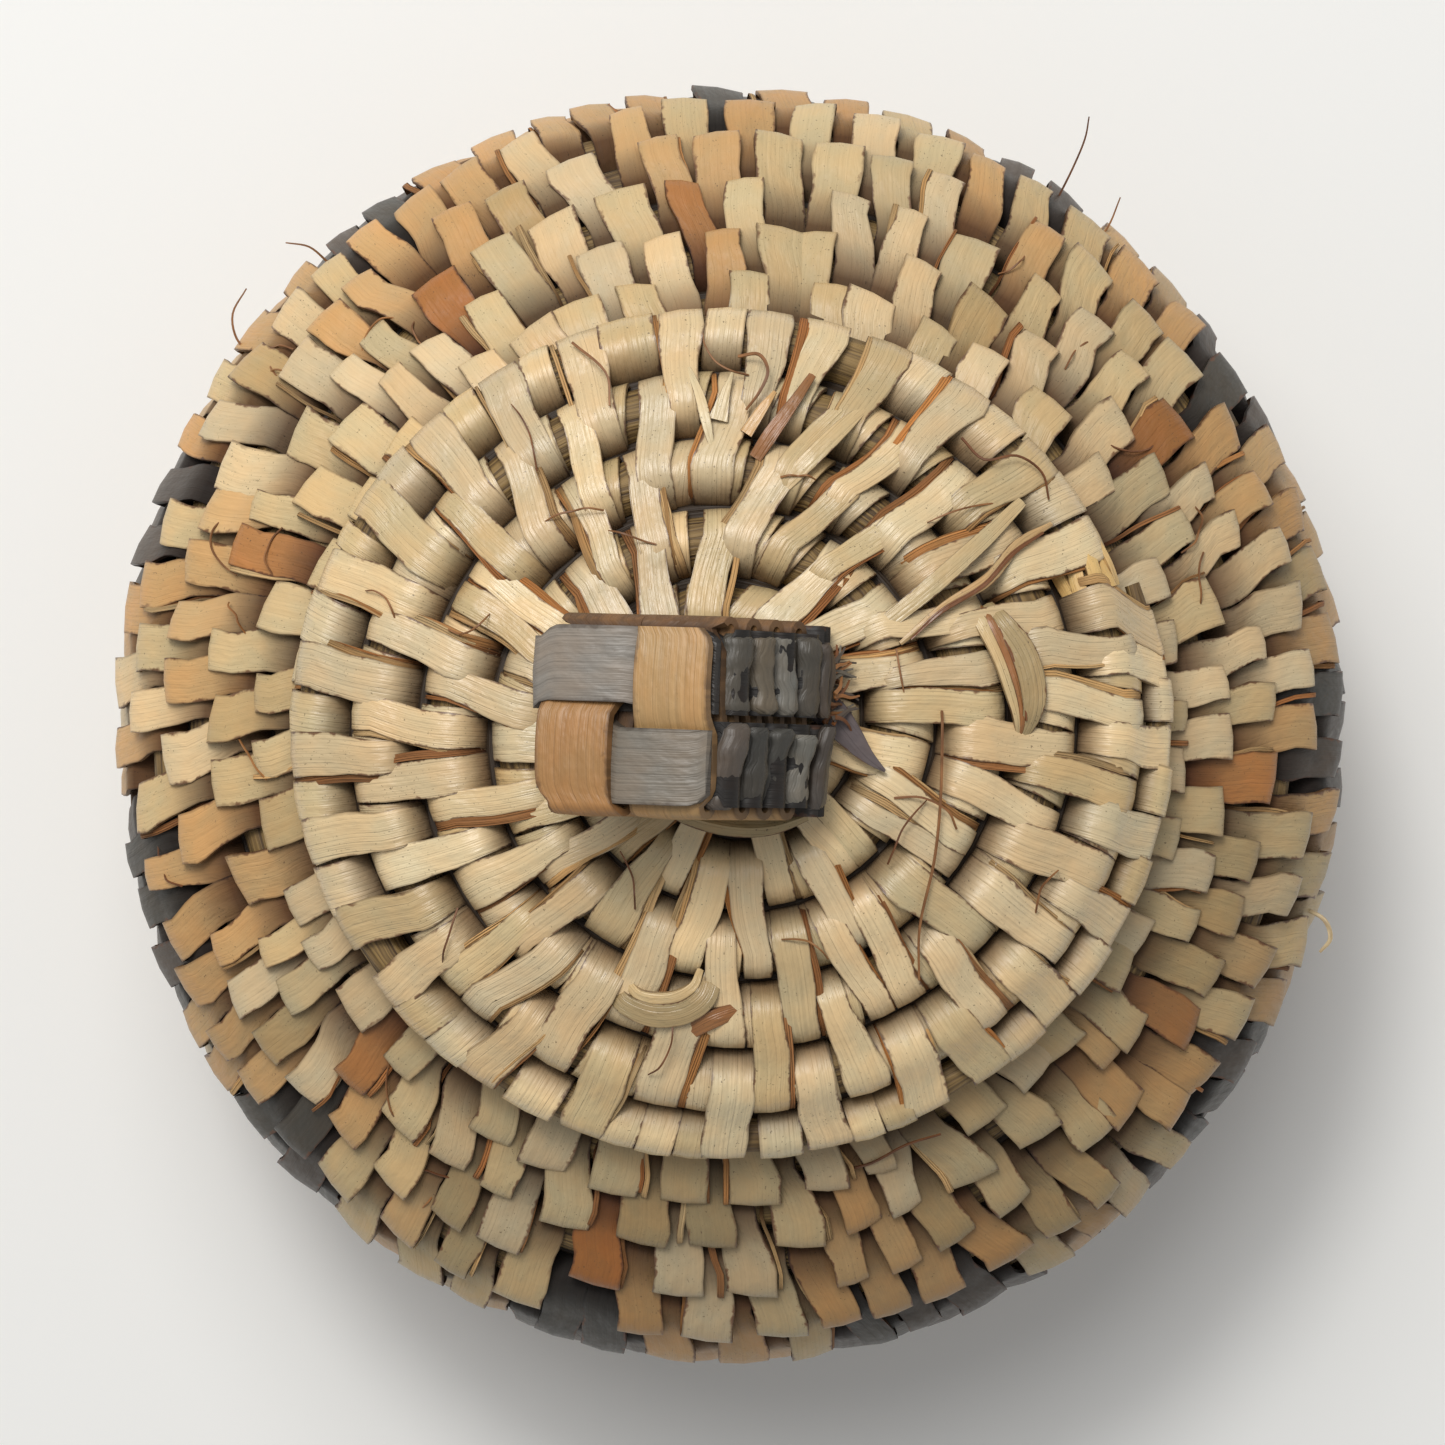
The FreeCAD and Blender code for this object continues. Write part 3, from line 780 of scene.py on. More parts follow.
@dataclass(frozen=True)
class LooseFibreFinish(Finish):
    """Single hairs of leaf edge that have come away: dull, with darker lengths."""

    length_size: Pair = (0.4, 2.5)
    darker: Triple = (0.5, 0.45, 0.4)
    roughness: float = 0.55

    def looks(self, tree: Tree) -> dict:
        """The tint, and a darker tint on some lengths.

        Args:
            tree: node tree.

        Returns:
            The shader's inputs by name.
        """
        add = partial(node, tree)
        place = add("Attribute", attribute_name="place").outputs["Vector"]
        tint = add("Attribute", attribute_name="tint")
        light = add("MapRange", (streaks(tree, place, self.length_size, 2.0), 0.35, 0.65))
        dark = add("Mix", (1.0, tint, self.darker), **DARKEN)
        return {"Base Color": add("Mix", (light, dark, tint), **BLEND), "Roughness": self.roughness}


@dataclass(frozen=True)
class PaleFloorFinish(Finish):
    """Matt white paper sweep with a faint grain."""

    colour: str = "f6f6f4"
    grain: float = 0.03
    grain_scale: float = 900.0
    roughness: float = 0.9

    def looks(self, tree: Tree) -> dict:
        """White, and a tenth darker at the grain's peaks.

        Args:
            tree: node tree.

        Returns:
            The shader's inputs by name.
        """
        add = partial(node, tree)
        where = add("TexCoord").outputs["Object"]
        noise = add("TexNoise", {"Vector": where, "Scale": self.grain_scale, "Detail": 2.0})
        base = linear(self.colour)
        dark = add("Math", (noise, self.grain), **TIMES)
        colour = add("Mix", (dark, base, tuple(0.9 * c for c in base)), **BLEND)
        return {"Base Color": colour, "Roughness": self.roughness, "Specular IOR Level": 0.1}


class Finishes:
    """The materials, made once."""

    def __init__(self) -> None:
        """Makes each material."""
        self.strip = PalmStripFinish("palm_strip").build()
        self.lid_strip = PalmStripFinish(
            "lid_strip", vein_contrast=0.08, streak_contrast=0.17, roughness=0.29,
            vein_depth=0.00007, sheen=0.65, wander=3.5).build()
        self.torn = PalmStripFinish(
            "torn_edge", vein_spacing=0.26, vein_contrast=0.35, streak_contrast=0.45, pits=0.3,
            roughness=0.62, vein_depth=0.0002, sheen=0.3, wander=3.0).build()
        self.knob = PalmStripFinish(
            "knob_strip", vein_spacing=0.85, vein_contrast=0.17, streak_contrast=0.22, pits=0.2,
            fray=0.4, fray_colour="3a2a1e", vein_depth=0.00006, wander=2.5).build()
        self.bundle = FibreBundleFinish("fibre_bundle").build()
        self.fibre = LooseFibreFinish("loose_fibre").build()
        self.floor = PaleFloorFinish("pale_floor").build()


@dataclass
class Part:
    """A sub-assembly on one body. All draw in turn from the same source of chance."""

    rng: Rng
    finish: Finishes
    body: str

    def add(self, name: str, shell: Shell, finish: str, slot: str, nodes: Sequence[str] = (),
            sharp: float = 40.0) -> None:
        """Makes a piece, sets it on the body and lets it stand for CAD nodes.

        Args:
            name: name of the piece.
            shell: its mesh in millimetres.
            finish: name of its material among the finishes.
            slot: its colour slot, which is not used.
            nodes: CAD nodes that it replaces.
            sharp: angle above which an edge is sharp, in degrees.
        """
        mesh = bpy.data.meshes.new(name)
        sizes = [4] * len(shell.faces) + [len(cap) for cap in shell.caps]
        sizes = np.array(sizes, dtype=np.int32)
        corners = np.concatenate([shell.faces.ravel(), *shell.caps]).astype(np.int32)
        mesh.vertices.add(len(shell.vertices))
        mesh.vertices.foreach_set("co", (shell.vertices * MM).ravel())
        mesh.loops.add(len(corners))
        mesh.loops.foreach_set("vertex_index", corners)
        mesh.polygons.add(len(sizes))
        mesh.polygons.foreach_set("loop_start", np.cumsum(sizes, dtype=np.int32) - sizes)
        mesh.update(calc_edges=True)
        mesh.validate()
        mesh.polygons.foreach_set("use_smooth", np.ones(len(mesh.polygons), dtype=bool))
        mesh.set_sharp_from_angle(angle=math.radians(sharp))
        for kind, own, key, values in (("FLOAT_VECTOR", "place", "vector", shell.place),
                                       ("FLOAT_COLOR", "tint", "color", shell.tint),
                                       ("FLOAT", "edge", "value", shell.edge)):
            mesh.attributes.new(own, kind, "POINT").data.foreach_set(key, values.ravel())
        mesh.materials.append(getattr(self.finish, finish))
        made = bpy.data.objects.new(name, mesh)
        bpy.context.scene.collection.objects.link(made)
        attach(made, self.body)
        if nodes:
            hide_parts(*nodes)
        low, high = shell.vertices.min(axis=0), shell.vertices.max(axis=0)
        log.info("%s: %d faces, %s to %s mm", name, len(sizes), np.round(low, 1), np.round(high, 1))


# ---- strips on a coil


@dataclass(frozen=True)
class StripPath:
    """How one strip runs round two bundles: millimetres down, millimetres out, width share, tuck,
    which sets painted shade.

    Points end_from to end_to are those at the strip's lower end.
    """

    points: tuple[Spot, ...]
    thickness: float
    crown: float
    bow: float
    slant_spread: float
    twist_spread: float
    end_spread: float
    end_from: int
    end_to: int

    def rings(self) -> Array:
        """The points with one more between each two: nine times both less the next ones, over 16.

        Returns:
            Rows of down, out, width share and tuck.
        """
        own = np.array(self.points)
        behind, ahead, beyond = (np.roll(own, k, axis=0) for k in (1, -1, -2))
        between = (9.0 * (own + ahead) - behind - beyond) / 16.0
        between[:, 2:] = 0.5 * (own + ahead)[:, 2:]
        return np.stack([own, between], axis=1).reshape(-1, 4)


BODY_PATH = StripPath(
    points=(
        (3.3, -2.9, 1.0, 0.35), (-0.4, -2.95, 1.0, 0.5), (-2.5, -1.6, 0.95, 0.9),
        (-2.7, 0.9, 0.9, 1.0), (-1.6, 2.6, 0.9, 1.0), (0.8, 3.05, 0.95, 0.6),
        (3.2, 3.25, 1.0, 0.15), (6.0, 3.85, 1.0, 0.0), (8.2, 4.15, 1.0, 0.0),
        (9.4, 3.85, 1.0, 0.05), (9.75, 3.05, 0.97, 0.5), (8.8, 2.1, 0.9, 1.0),
        (9.0, -0.4, 0.9, 0.95), (7.2, -2.75, 0.9, 0.5)),
    thickness=0.42, crown=0.2, bow=0.45, slant_spread=0.08, twist_spread=0.20, end_spread=0.6,
    end_from=7, end_to=11)

LID_PATH = StripPath(
    points=(
        (3.8, -3.3, 1.0, 0.4), (0.3, -3.35, 1.0, 0.5), (-2.4, -2.4, 0.9, 0.9),
        (-3.55, -0.1, 0.85, 1.0), (-3.0, 2.1, 0.88, 0.7), (-1.6, 3.5, 0.95, 0.1),
        (0.3, 3.95, 1.0, 0.0), (2.6, 3.7, 1.0, 0.0), (4.8, 3.45, 1.0, 0.03), (6.8, 3.6, 1.0, 0.0),
        (8.6, 3.5, 1.0, 0.0), (10.1, 2.5, 0.97, 0.2), (10.95, 0.9, 0.92, 0.6),
        (10.7, -1.3, 0.9, 0.95), (9.2, -3.0, 0.9, 0.7), (6.8, -3.4, 0.95, 0.5)),
    thickness=0.45, crown=0.3, bow=0.35, slant_spread=0.03, twist_spread=0.07, end_spread=0.15,
    end_from=4, end_to=6)


@dataclass
class Fit:
    """Width and sideways shift of each strip on the two bundles that it binds."""

    near_width: Array
    far_width: Array
    near_shift: Array
    far_shift: Array

    def chosen(self, picked: Array) -> "Fit":
        """The fit of some of the strips."""
        return Fit(self.near_width[picked], self.far_width[picked], self.near_shift[picked],
                   self.far_shift[picked])

    def beside(self, shift: Array, width: Array) -> "Fit":
        """A narrower strip beside each strip.

        Args:
            shift: where it lies, in halves of the strip's width from its middle.
            width: its width.

        Returns:
            The fit of the narrower strips.
        """
        return Fit(width, width, self.near_shift + 0.5 * shift * self.near_width,
                   self.far_shift + 0.5 * shift * self.far_width)


def fitted(coil: Coil, turns: Array, near: Triple,
           far: Triple, centring: float, lean: Number, rng: Rng) -> Fit:
    """Fits strips between their neighbours: half the room on both sides, times a share.

    Args:
        coil: the coil.
        turns: the strips' places.
        near: share of the room that a strip fills on its near bundle, least and greatest width.
        far: the same on its far bundle.
        centring: how far a strip moves to the middle of its room, 0 to 1.
        lean: sideways run over length.
        rng: source of chance.

    Returns:
        The fit.
    """
    most_room = 0.06
    passes = np.sort(np.concatenate([turns, turns - 1.0]))
    places = (turns - 1.0, turns) if coil.upward else (turns, turns - 1.0)
    widths, shifts = [], []
    for place, (share, least, most), side in zip(places, (near, far), (-0.5, 0.5)):
        k = np.clip(np.searchsorted(passes, place), 1, len(passes) - 2)
        before = np.minimum(place - passes[k - 1], most_room)
        after = np.minimum(passes[k + 1] - place, most_room)
        scale = FULL_TURN * coil.reach(place)
        chance = 1.0 + rng.uniform(-0.15, 0.12, len(turns))
        widths.append(np.clip(0.5 * (before + after) * scale * share * chance, least, most))
        shifts.append(0.25 * (after - before) * scale * centring + side * coil.pitch * lean)
    return Fit(*widths, *shifts)


def between(a: Array, b: Array, share: Array) -> Array:
    """Values or vectors that lie between a and b by a share, a row to each strip."""
    share = share[..., None] if a.ndim == 2 else share
    return a[:, None] * (1.0 - share) + b[:, None] * share


def strips_on(coil: Coil, turns: Array, path: StripPath, tint: Array, rng: Rng, fit: Fit,
              lift: Number = 0.0) -> Shell:
    """Strips closed round a turn and the turn beside it.

    A path point lies between the near and the far bundle by its share of the pitch, then down, out
    and sideways from there. It leans, bows by a sine and wavers in width by chance.

    Args:
        coil: the coil that they bind.
        turns: where each strip lies on its outer or upper turn.
        path: shape of the strips.
        tint: colours, (N, 3).
        rng: source of chance.
        fit: width and shift of each strip.
        lift: how far the strip stands out beyond its path.

    Returns:
        One shell.
    """
    front_height, overhang = 2.0, 3.0
    waver, waver_rate = 0.035, 1.2
    shape = path.rings()
    count = len(turns)

    def chance(least: float = -1.0, most: float = 1.0) -> Array:
        """A column of chance values."""
        return rng.uniform(least, most, count)[:, None]

    inner, outer = coil.frames(turns - 1.0), coil.frames(turns)
    near, far = (inner, outer) if coil.upward else (outer, inner)
    s, n = (np.tile(shape[:, k], (count, 1)) for k in (0, 1))
    s[:, 2 * path.end_from:2 * path.end_to + 1] += chance() * path.end_spread
    n += np.where(shape[:, 1] > front_height, 1.0, 0.0) * (
        np.broadcast_to(lift, count)[:, None] + chance(-0.12, 0.16))
    share = np.clip(s / coil.pitch, 0.0, 1.0)
    size = between(near.size, far.size, share) / coil.radius
    down, out, along = (unit(between(getattr(near, way), getattr(far, way), share))
                        for way in ("down", "out", "along"))
    rest, n = (s - share * coil.pitch) * size, n * size
    lean = chance() * path.slant_spread
    sideways = (np.clip(s, -overhang, coil.pitch + overhang) - 0.5 * coil.pitch) * lean
    sideways = sideways + between(fit.near_shift, fit.far_shift, share)
    sideways = sideways + chance() * path.bow * np.sin(math.pi * share)
    wide = between(fit.near_width, fit.far_width, share)
    wide = wide * (1.0 + waver * np.sin(waver_rate * s + chance(0.0, FULL_TURN)))
    centre = (between(near.origin, far.origin, share) + down * rest[..., None] + out * n[..., None]
              + along * sideways[..., None])
    face = unit(np.cross(unit(np.roll(centre, -1, axis=1) - np.roll(centre, 1, axis=1)), along))
    front = np.clip((n - 1.0) / 2.0, 0.0, 1.0)
    twist = chance() * path.twist_spread * front
    return sweep(centre, face, along, 0.5 * wide * shape[:, 2], path.thickness, path.crown * front,
                 tint, shape[:, 3], rng.uniform(0.0, SEED_SPREAD, count), True, twist)


def hoops_on(coil: Coil, turns: Array, width: Array, tint: Array, gap: float, lean: Number,
             rng: Rng) -> Shell:
    """Strips closed round one bundle: circles about its middle that run sideways as they go down.

    Args:
        coil: the coil.
        turns: their places.
        width: their widths.
        tint: colours, (N, 3).
        gap: how far they stand off the bundle.
        lean: sideways run over length.
        rng: source of chance.

    Returns:
        One shell.
    """
    steps, thickness, crown = 18, 0.42, 0.16
    count = len(turns)
    at = coil.frames(turns)
    phi = -0.5 * math.pi + np.arange(steps) / steps * FULL_TURN
    down, out = np.sin(phi), np.cos(phi)
    reach = (at.size + gap)[:, None] + rng.uniform(-0.05, 0.12, count)[:, None]
    lean = (np.broadcast_to(lean, count) + rng.uniform(-0.08, 0.08, count))[:, None] * down
    centre = (at.origin[:, None] + at.down[:, None] * (reach * down)[..., None]
              + at.out[:, None] * (reach * out)[..., None]
              + at.along[:, None] * (lean * at.size[:, None])[..., None])
    face = at.down[:, None] * down[None, :, None] + at.out[:, None] * out[None, :, None]
    along = np.broadcast_to(at.along[:, None], centre.shape)
    # Painted shade on the hoop where it runs behind the bundle or between rows.
    hidden = np.clip(np.maximum(-out, np.clip(-down * 1.2 - 0.3, 0.0, 1.0)), 0.0, 1.0)
    half = np.broadcast_to(0.5 * width[:, None], (count, steps))
    return sweep(centre, face, along, half, thickness, crown, tint, hidden,
                 rng.uniform(0.0, SEED_SPREAD, count), True)


def all_joined(shells: Sequence[Shell]) -> Shell:
    """Shells as one, in their order."""
    return reduce(Shell.joined, shells)


def frayed(coil: Coil, turns: Array, path: StripPath, fit: Fit, likely: Number, widest: float,
           rng: Rng) -> Shell:
    """Torn strands of leaf edge that run beside some strips, up to three to a strip.

    Args:
        coil: the coil that the strips bind.
        turns: the strips' places.
        path: shape of the strips.
        fit: fit of the strips.
        likely: chance of a strand for each strip.
        widest: greatest width of a strand.
        rng: source of chance.

    Returns:
        One shell.
    """
    kinds = (Leaf.SEPIA, Leaf.OCHRE, Leaf.AMBER, Leaf.FRAY, Leaf.BLUSH)
    thin = replace(path, thickness=0.14, crown=0.05, slant_spread=0.07)
    found = []
    for share in (1.0, 0.6, 0.35):
        picked = rng.random(len(turns)) < likely * share
        count = int(picked.sum())
        side = rng.choice([-1.0, 1.0, 1.0], count) * rng.uniform(0.85, 1.2, count)
        tint = mixed_leaves(kinds, count, rng, 0.25)
        strand = fit.chosen(picked).beside(side, rng.uniform(0.3, widest, count))
        found.append(strips_on(coil, turns[picked], thin, tint, rng, strand,
                               rng.uniform(-0.35, 0.05, count)))
    return all_joined(found)


@dataclass(frozen=True)
class LooseStrip:
    """A strip that lies free: millimetres east, north and above the work, and its width."""

    places: tuple[Spot, ...]
    leaf: Leaf
    thickness: float = 0.4
    crown: float = 0.15


def laid(strips: Sequence[LooseStrip], surface: Callable[[Array, Array], Array], rng: Rng) -> Shell:
    """Loose strips laid over a surface, each place raised along the surface's slope.

    Args:
        strips: the strips.
        surface: function from east and north to the height of the work.
        rng: source of chance.

    Returns:
        One shell.
    """
    found, step, least_width = [], 0.2, 0.1
    for strip in strips:
        x, y, above, width = smooth_line(np.array(strip.places), 5).T
        z = surface(x, y)
        slopes = (z - surface(x + step, y)) / step, (z - surface(x, y + step)) / step
        out = unit(stacked(*slopes, 1.0))
        centre = stacked(x, y, z) + out * above[:, None]
        way = unit(np.gradient(centre, axis=0))
        along = unit(np.cross(out, way))
        half = 0.5 * np.maximum(width, least_width)[None]
        tint = varied([strip.leaf.rgb], rng, 0.08)
        found.append(sweep(centre[None], np.cross(way, along)[None], along[None], half,
                           strip.thickness, strip.crown, tint, 0.0,
                           rng.uniform(0.0, SEED_SPREAD, 1), False))
    return all_joined(found)


def curls(count: int, ring: Pair, rng: Rng) -> list[LooseStrip]:
    """Short hairs of leaf edge that stand off the work at chance places and bend evenly.

    Args:
        count: number of hairs.
        ring: least and greatest distance from the axis.
        rng: source of chance.

    Returns:
        The hairs.
    """
    found = []
    kinds = (Leaf.BARK, Leaf.SEPIA, Leaf.SEPIA, Leaf.AMBER)
    for _ in range(count):
        angle, heading = rng.uniform(0.0, FULL_TURN, 2)
        reach, bend, size = rng.uniform(*ring), rng.uniform(-0.5, 0.5), rng.uniform(0.8, 2.0)
        x, y = reach * math.cos(angle), reach * math.sin(angle)
        places = []
        for k in range(5):
            rise = rng.uniform(0.3, 1.3)
            places.append((x, y, 0.1 if k in (0, 4) else rise, 0.18 if k < 4 else 0.1))
            x, y = x + size * math.cos(heading), y + size * math.sin(heading)
            heading += bend
        found.append(LooseStrip(tuple(places), kinds[int(rng.integers(0, len(kinds)))], 0.16, 0.02))
    return found


def bundle_on(coil: Coil, first: float, last: float, per_turn: int, rng: Rng) -> Shell:
    """The foundation between two turns: a tube of wound stems whose radius wavers by two sines.

    A cord, sunk halfway between a turn and the turn before it, closes the furrow between rows; its
    dark colour is painted shade.

    Args:
        coil: the coil.
        first: first turn.
        last: last turn.
        per_turn: rings to a turn.
        rng: source of chance.

    Returns:
        One shell.
    """
    stems, stem_depth, stem_twist = 11, 0.07, 0.7 * 0.35
    cord_sink, cord_spare, cord_seed = 0.9, 0.8, 4.0
    steps = max(3, int((last - first) * per_turn))
    turns = np.linspace(first, last, steps)
    at = coil.frames(turns)
    radius = at.size * (0.96 + 0.03 * np.sin(turns * 41.0) + 0.02 * np.sin(turns * 97.0))
    wound = stem_twist * np.arange(1, steps + 1) + rng.uniform(0.0, 6.0)
    tint = np.array([Leaf.STEM.rgb])
    shell = tubes(at.origin[None], at.out[None], at.down[None], radius[None], 22, tint,
                  rng.uniform(0.0, SEED_SPREAD, 1), stems, stem_depth, wound[None])
    turns = turns[turns >= 1.0]
    if len(turns) < 3:
        return shell
    at, beside = coil.frames(turns), coil.frames(turns - 1.0)
    size = 0.5 * coil.pitch - coil.radius + cord_spare
    out = unit(at.out + beside.out)
    # The cord carries tuck 1, which gives it the dark colour of painted shade in the furrow.
    return shell.joined(tubes(
        (0.5 * (at.origin + beside.origin) - cord_sink * out)[None], out[None],
        unit(at.down + beside.down)[None], np.full((1, len(turns)), size), 8, tint,
        np.array([cord_seed]), tuck=1.0))


def brick_turns(coil: Coil, first_row: Array, spacing: Callable[[float], float], last: float,
                inwards: bool, rng: Rng) -> Array:
    """Places for strips, each row's between those of the row before it, as bricks lie.

    Between two neighbours go as many as the room there holds, and what is over is owed to the next.

    Args:
        coil: the coil.
        first_row: turns of the first row, in order.
        spacing: function from distance along the meridian to the wanted spacing.
        last: the turn at which to stop.
        inwards: whether rows are added towards the coil's start.
        rng: source of chance.

    Returns:
        Turns of all strips.
    """
    most, enough, scatter = 3, 0.8, 0.07
    found = list(first_row)
    step = -1.0 if inwards else 1.0
    owed = 0.0
    k = 1
    while k < len(found):
        a, b = found[k - 1], found[k]
        middle = 0.5 * (a + b) + step
        if (middle - last) * step > 0.0:
            break
        wanted = spacing(float(coil.distance(middle)))
        own = abs(b - a) * FULL_TURN * float(coil.reach(np.array(middle))) / wanted
        owed += own
        number = min(most, max(int(own > enough), round(owed)))
        owed = min(1.0, max(-1.0, owed - number))
        for j in range(number):
            share = (j + 1.0) / (number + 1.0)
            found.append(a + (b - a) * (share + rng.uniform(-scatter, scatter)) + step)
        k += 1
    return np.array(found)


def angle_gap(a: Number, b: Number) -> Array:
    """Degrees between two directions, 0 to 180."""
    return np.abs((a - b + 180.0) % 360.0 - 180.0)


# ---- the basket's body


WALL_HAIRS = (
    LooseStrip(((35.6, 57.0, 0.0, 0.3), (36.9, 59.4, 0.8, 0.26), (38.6, 62.8, 2.0, 0.22),
                (39.9, 66.0, 3.4, 0.2), (40.3, 68.4, 4.4, 0.14)), Leaf.BARK, 0.16, 0.02),
    LooseStrip(((-54.0, 42.0, 0.0, 0.28), (-55.8, 43.8, 0.6, 0.26), (-56.2, 46.6, 1.2, 0.22),
                (-54.6, 49.4, 1.6, 0.14)), Leaf.SEPIA, 0.16, 0.02),
    LooseStrip(((-45.6, 52.6, 0.0, 0.28), (-47.6, 54.2, 0.8, 0.22), (-50.2, 54.6, 1.4, 0.14)),
               Leaf.SEPIA, 0.16, 0.02),
    LooseStrip(((65.0, -20.6, 0.2, 0.4), (67.2, -21.9, 0.8, 0.5), (67.9, -24.0, 0.8, 0.5),
                (66.8, -25.6, 0.2, 0.3)), Leaf.CREAM, 0.16, 0.02),
    LooseStrip(((40.0, 53.0, 0.2, 0.24), (42.6, 56.2, 1.2, 0.22), (44.0, 59.6, 2.4, 0.14)),
               Leaf.SEPIA, 0.16, 0.02),
    LooseStrip(((12.2, -48.0, 0.0, 0.3), (15.0, -46.4, 1.2, 0.28), (18.4, -43.9, 2.0, 0.26),
                (21.6, -41.9, 3.4, 0.2)), Leaf.BARK, 0.16, 0.02),
)


@dataclass
class BasketBody(Part):
    """The round body: foundation, overlapping strips in a star pattern, and the mouth."""

    coil: Coil
    spacing: float = 6.6
    base_spacing: float = 8.4
    first_row: int = 7
    near_fit: Triple = (1.5, 2.6, 4.9)
    far_fit: Triple = (1.55, 3.4, 5.7)
    lean: float = 0.20
    lean_spread: float = 0.16
    foot_squash: float = 1.3
    base_end: float = 46.0
    lower_end: float = 64.0
    belly: float = 98.0
    strip_height: float = 4.3
    motif_angles: Row = (31.0, 60.0, 90.0, 126.0, 161.0, 197.0, 223.0, 256.0, 289.0, 323.0, 358.0)
    motif_half: float = 16.4
    dark_rows: Row = (-3.2, -2.2, -1.2, -0.2, 1.0, 2.2)
    dark_shares: Row = (0.0, 0.40, 0.58, 0.5, 0.34, 0.0)
    tan_rows: Row = (2.2, 3.2, 4.2, 5.2, 6.4)
    tan_shares: Row = (0.05, 0.45, 0.75, 1.0, 1.3)
    tan_side: float = 150.0
    russet_angles: Row = (30.0, 91.0, 124.0, 161.0, 224.0, 256.0, 325.0, 354.0)
    russet_rows: Pair = (1.85, 2.85)
    # Painted shade and light round the body: darker south and east, lighter west.
    painted_shade_south: float = 0.28
    painted_shade_east: float = 0.11
    mouth_reach: float = 38.0
    mouth_strip: float = 3.4

    def grounded(self, shell: Shell) -> Shell:
        """The shell pressed flat at the floor: below the squash height, heights fall off by e.

        Args:
            shell: the shell.

        Returns:
            The same shell.
        """
        z = shell.vertices[:, 2]
        soft = self.foot_squash * np.exp((z - self.foot_squash) / self.foot_squash)
        shell.vertices[:, 2] = np.where(z < self.foot_squash, soft, z)
        return shell

    def patterns(self, turns: Array) -> dict[str, Array]:
        """Which strips belong to each part of the wall and its pattern.

        A strip is dark or tan where its angle from the nearest motif's middle, as a share of half a
        motif, is below a share that is read off by its row.

        Args:
            turns: the strips' places.

        Returns:
            A mask for each part.
        """
        angle, round_axis = self.coil.degrees(turns), self.coil.angle(turns)
        offset = angle_gap(angle[:, None], np.array(self.motif_angles)).min(axis=1)
        offset = offset / self.motif_half
        distance, row = self.coil.distance(turns), self.coil.turns - turns
        higher_north = 0.1 + np.maximum(0.0, np.sin(round_axis - 0.2))
        below_belly = (self.belly - distance) / self.coil.pitch - higher_north
        rim, base = turns > self.coil.full_turns, distance < self.base_end
        lower = (distance < self.lower_end) & ~base
        dark_share = np.interp(below_belly, self.dark_rows, self.dark_shares)
        dark = (offset < dark_share) & ~rim & ~base
        tan_share = np.interp(row, self.tan_rows, self.tan_shares)
        tan_share = tan_share + 0.12 * np.maximum(
            0.0, np.cos(round_axis - math.radians(self.tan_side)))
        tan_share = tan_share + self.rng.uniform(-0.35, 0.35, len(turns))
        tan = (offset < tan_share) & ~dark & ~base & ~rim
        russet = np.zeros(len(turns), dtype=bool)
        in_rows = (row > self.russet_rows[0]) & (row < self.russet_rows[1])
        for wanted in self.russet_angles:
            russet[np.argmin(np.where(in_rows, angle_gap(angle, wanted), 360.0))] = True
        return {"russet": russet, "base": base, "lower": lower & ~dark, "tan": tan & ~lower,
                "dark": dark, "rim": rim}

    def build(self) -> None:
        """Makes all pieces of the body."""
        coil, rng = self.coil, self.rng
        middle = coil.turns / 2.0
        low = self.grounded(bundle_on(coil, 0.0, middle + 0.002, 64, rng))
        self.add("basket_bundle_lower", low, "bundle", "fibre_bundle",
                 ("base_coil", "lower_wall_coil"))
        high = bundle_on(coil, middle, coil.turns, 64, rng)
        self.add("basket_bundle_upper", high, "bundle", "fibre_bundle",
                 ("belly_coil", "shoulder_coil", "rim_coil"))
        first = 1.0 + np.arange(self.first_row) / (self.first_row - 0.3)

        def spacing(distance: float) -> float:
            """Wider on the base."""
            return self.base_spacing if distance < self.base_end else self.spacing

        turns = np.sort(brick_turns(coil, first, spacing, coil.turns, False, rng))
        lean = self.lean + rng.uniform(-self.lean_spread, self.lean_spread, len(turns))
        fit = fitted(coil, turns, self.near_fit, self.far_fit, 0.5, lean, rng)
        part = self.patterns(turns)
        pales = (Leaf.OAT, Leaf.STRAW, Leaf.OAT, Leaf.STRAW, Leaf.AGED)
        tans = (Leaf.TAN, Leaf.HONEY, Leaf.TAN, Leaf.BLUSH, Leaf.TAN, Leaf.OAT)
        taken = np.zeros(len(turns), dtype=bool)
        for key, name, kinds, slot, nodes in (
                ("russet", "russet_strips", (Leaf.RUSSET, Leaf.AMBER), "russet_palm",
                 ("shoulder_russet_stitches",)),
                ("base", "base_strips", pales, "pale_palm", ("base_stitches", "base_centre_knot")),
                ("lower", "lower_wall_strips", tans, "pale_palm", ("lower_wall_stitches",)),
                ("tan", "tan_strips", tans, "tan_palm", ("pattern_tan_stitches",)),
                ("dark", "dark_strips", (Leaf.DARK, Leaf.CHARCOAL), "dark_palm",
                 ("belly_dark_stitches",)),
                ("rim", "rim_strips", (Leaf.STRAW, Leaf.OAT), "pale_palm", ("rim_stitches",)),
                ("straw", "straw_strips", pales, "pale_palm", ("shoulder_straw_stitches",))):
            chosen = part.get(key, True) & ~taken
            taken |= chosen
            shell = self.strips(turns[chosen], kinds, fit.chosen(chosen))
            self.add(name, shell, "strip", slot, nodes)
        seen = ~part["dark"] & ~part["base"]
        shell = frayed(coil, turns[seen], BODY_PATH, fit.chosen(seen), 0.22, 0.8, rng)
        self.add("frayed_wall_strands", self.grounded(shell), "torn", "pale_palm")
        self.add_rim_wraps(turns[part["rim"]])
        shell = laid((*WALL_HAIRS, *curls(18, (48.0, 64.0), rng)), self.top, rng)
        self.add("wall_hairs", shell, "fibre", "pale_palm")

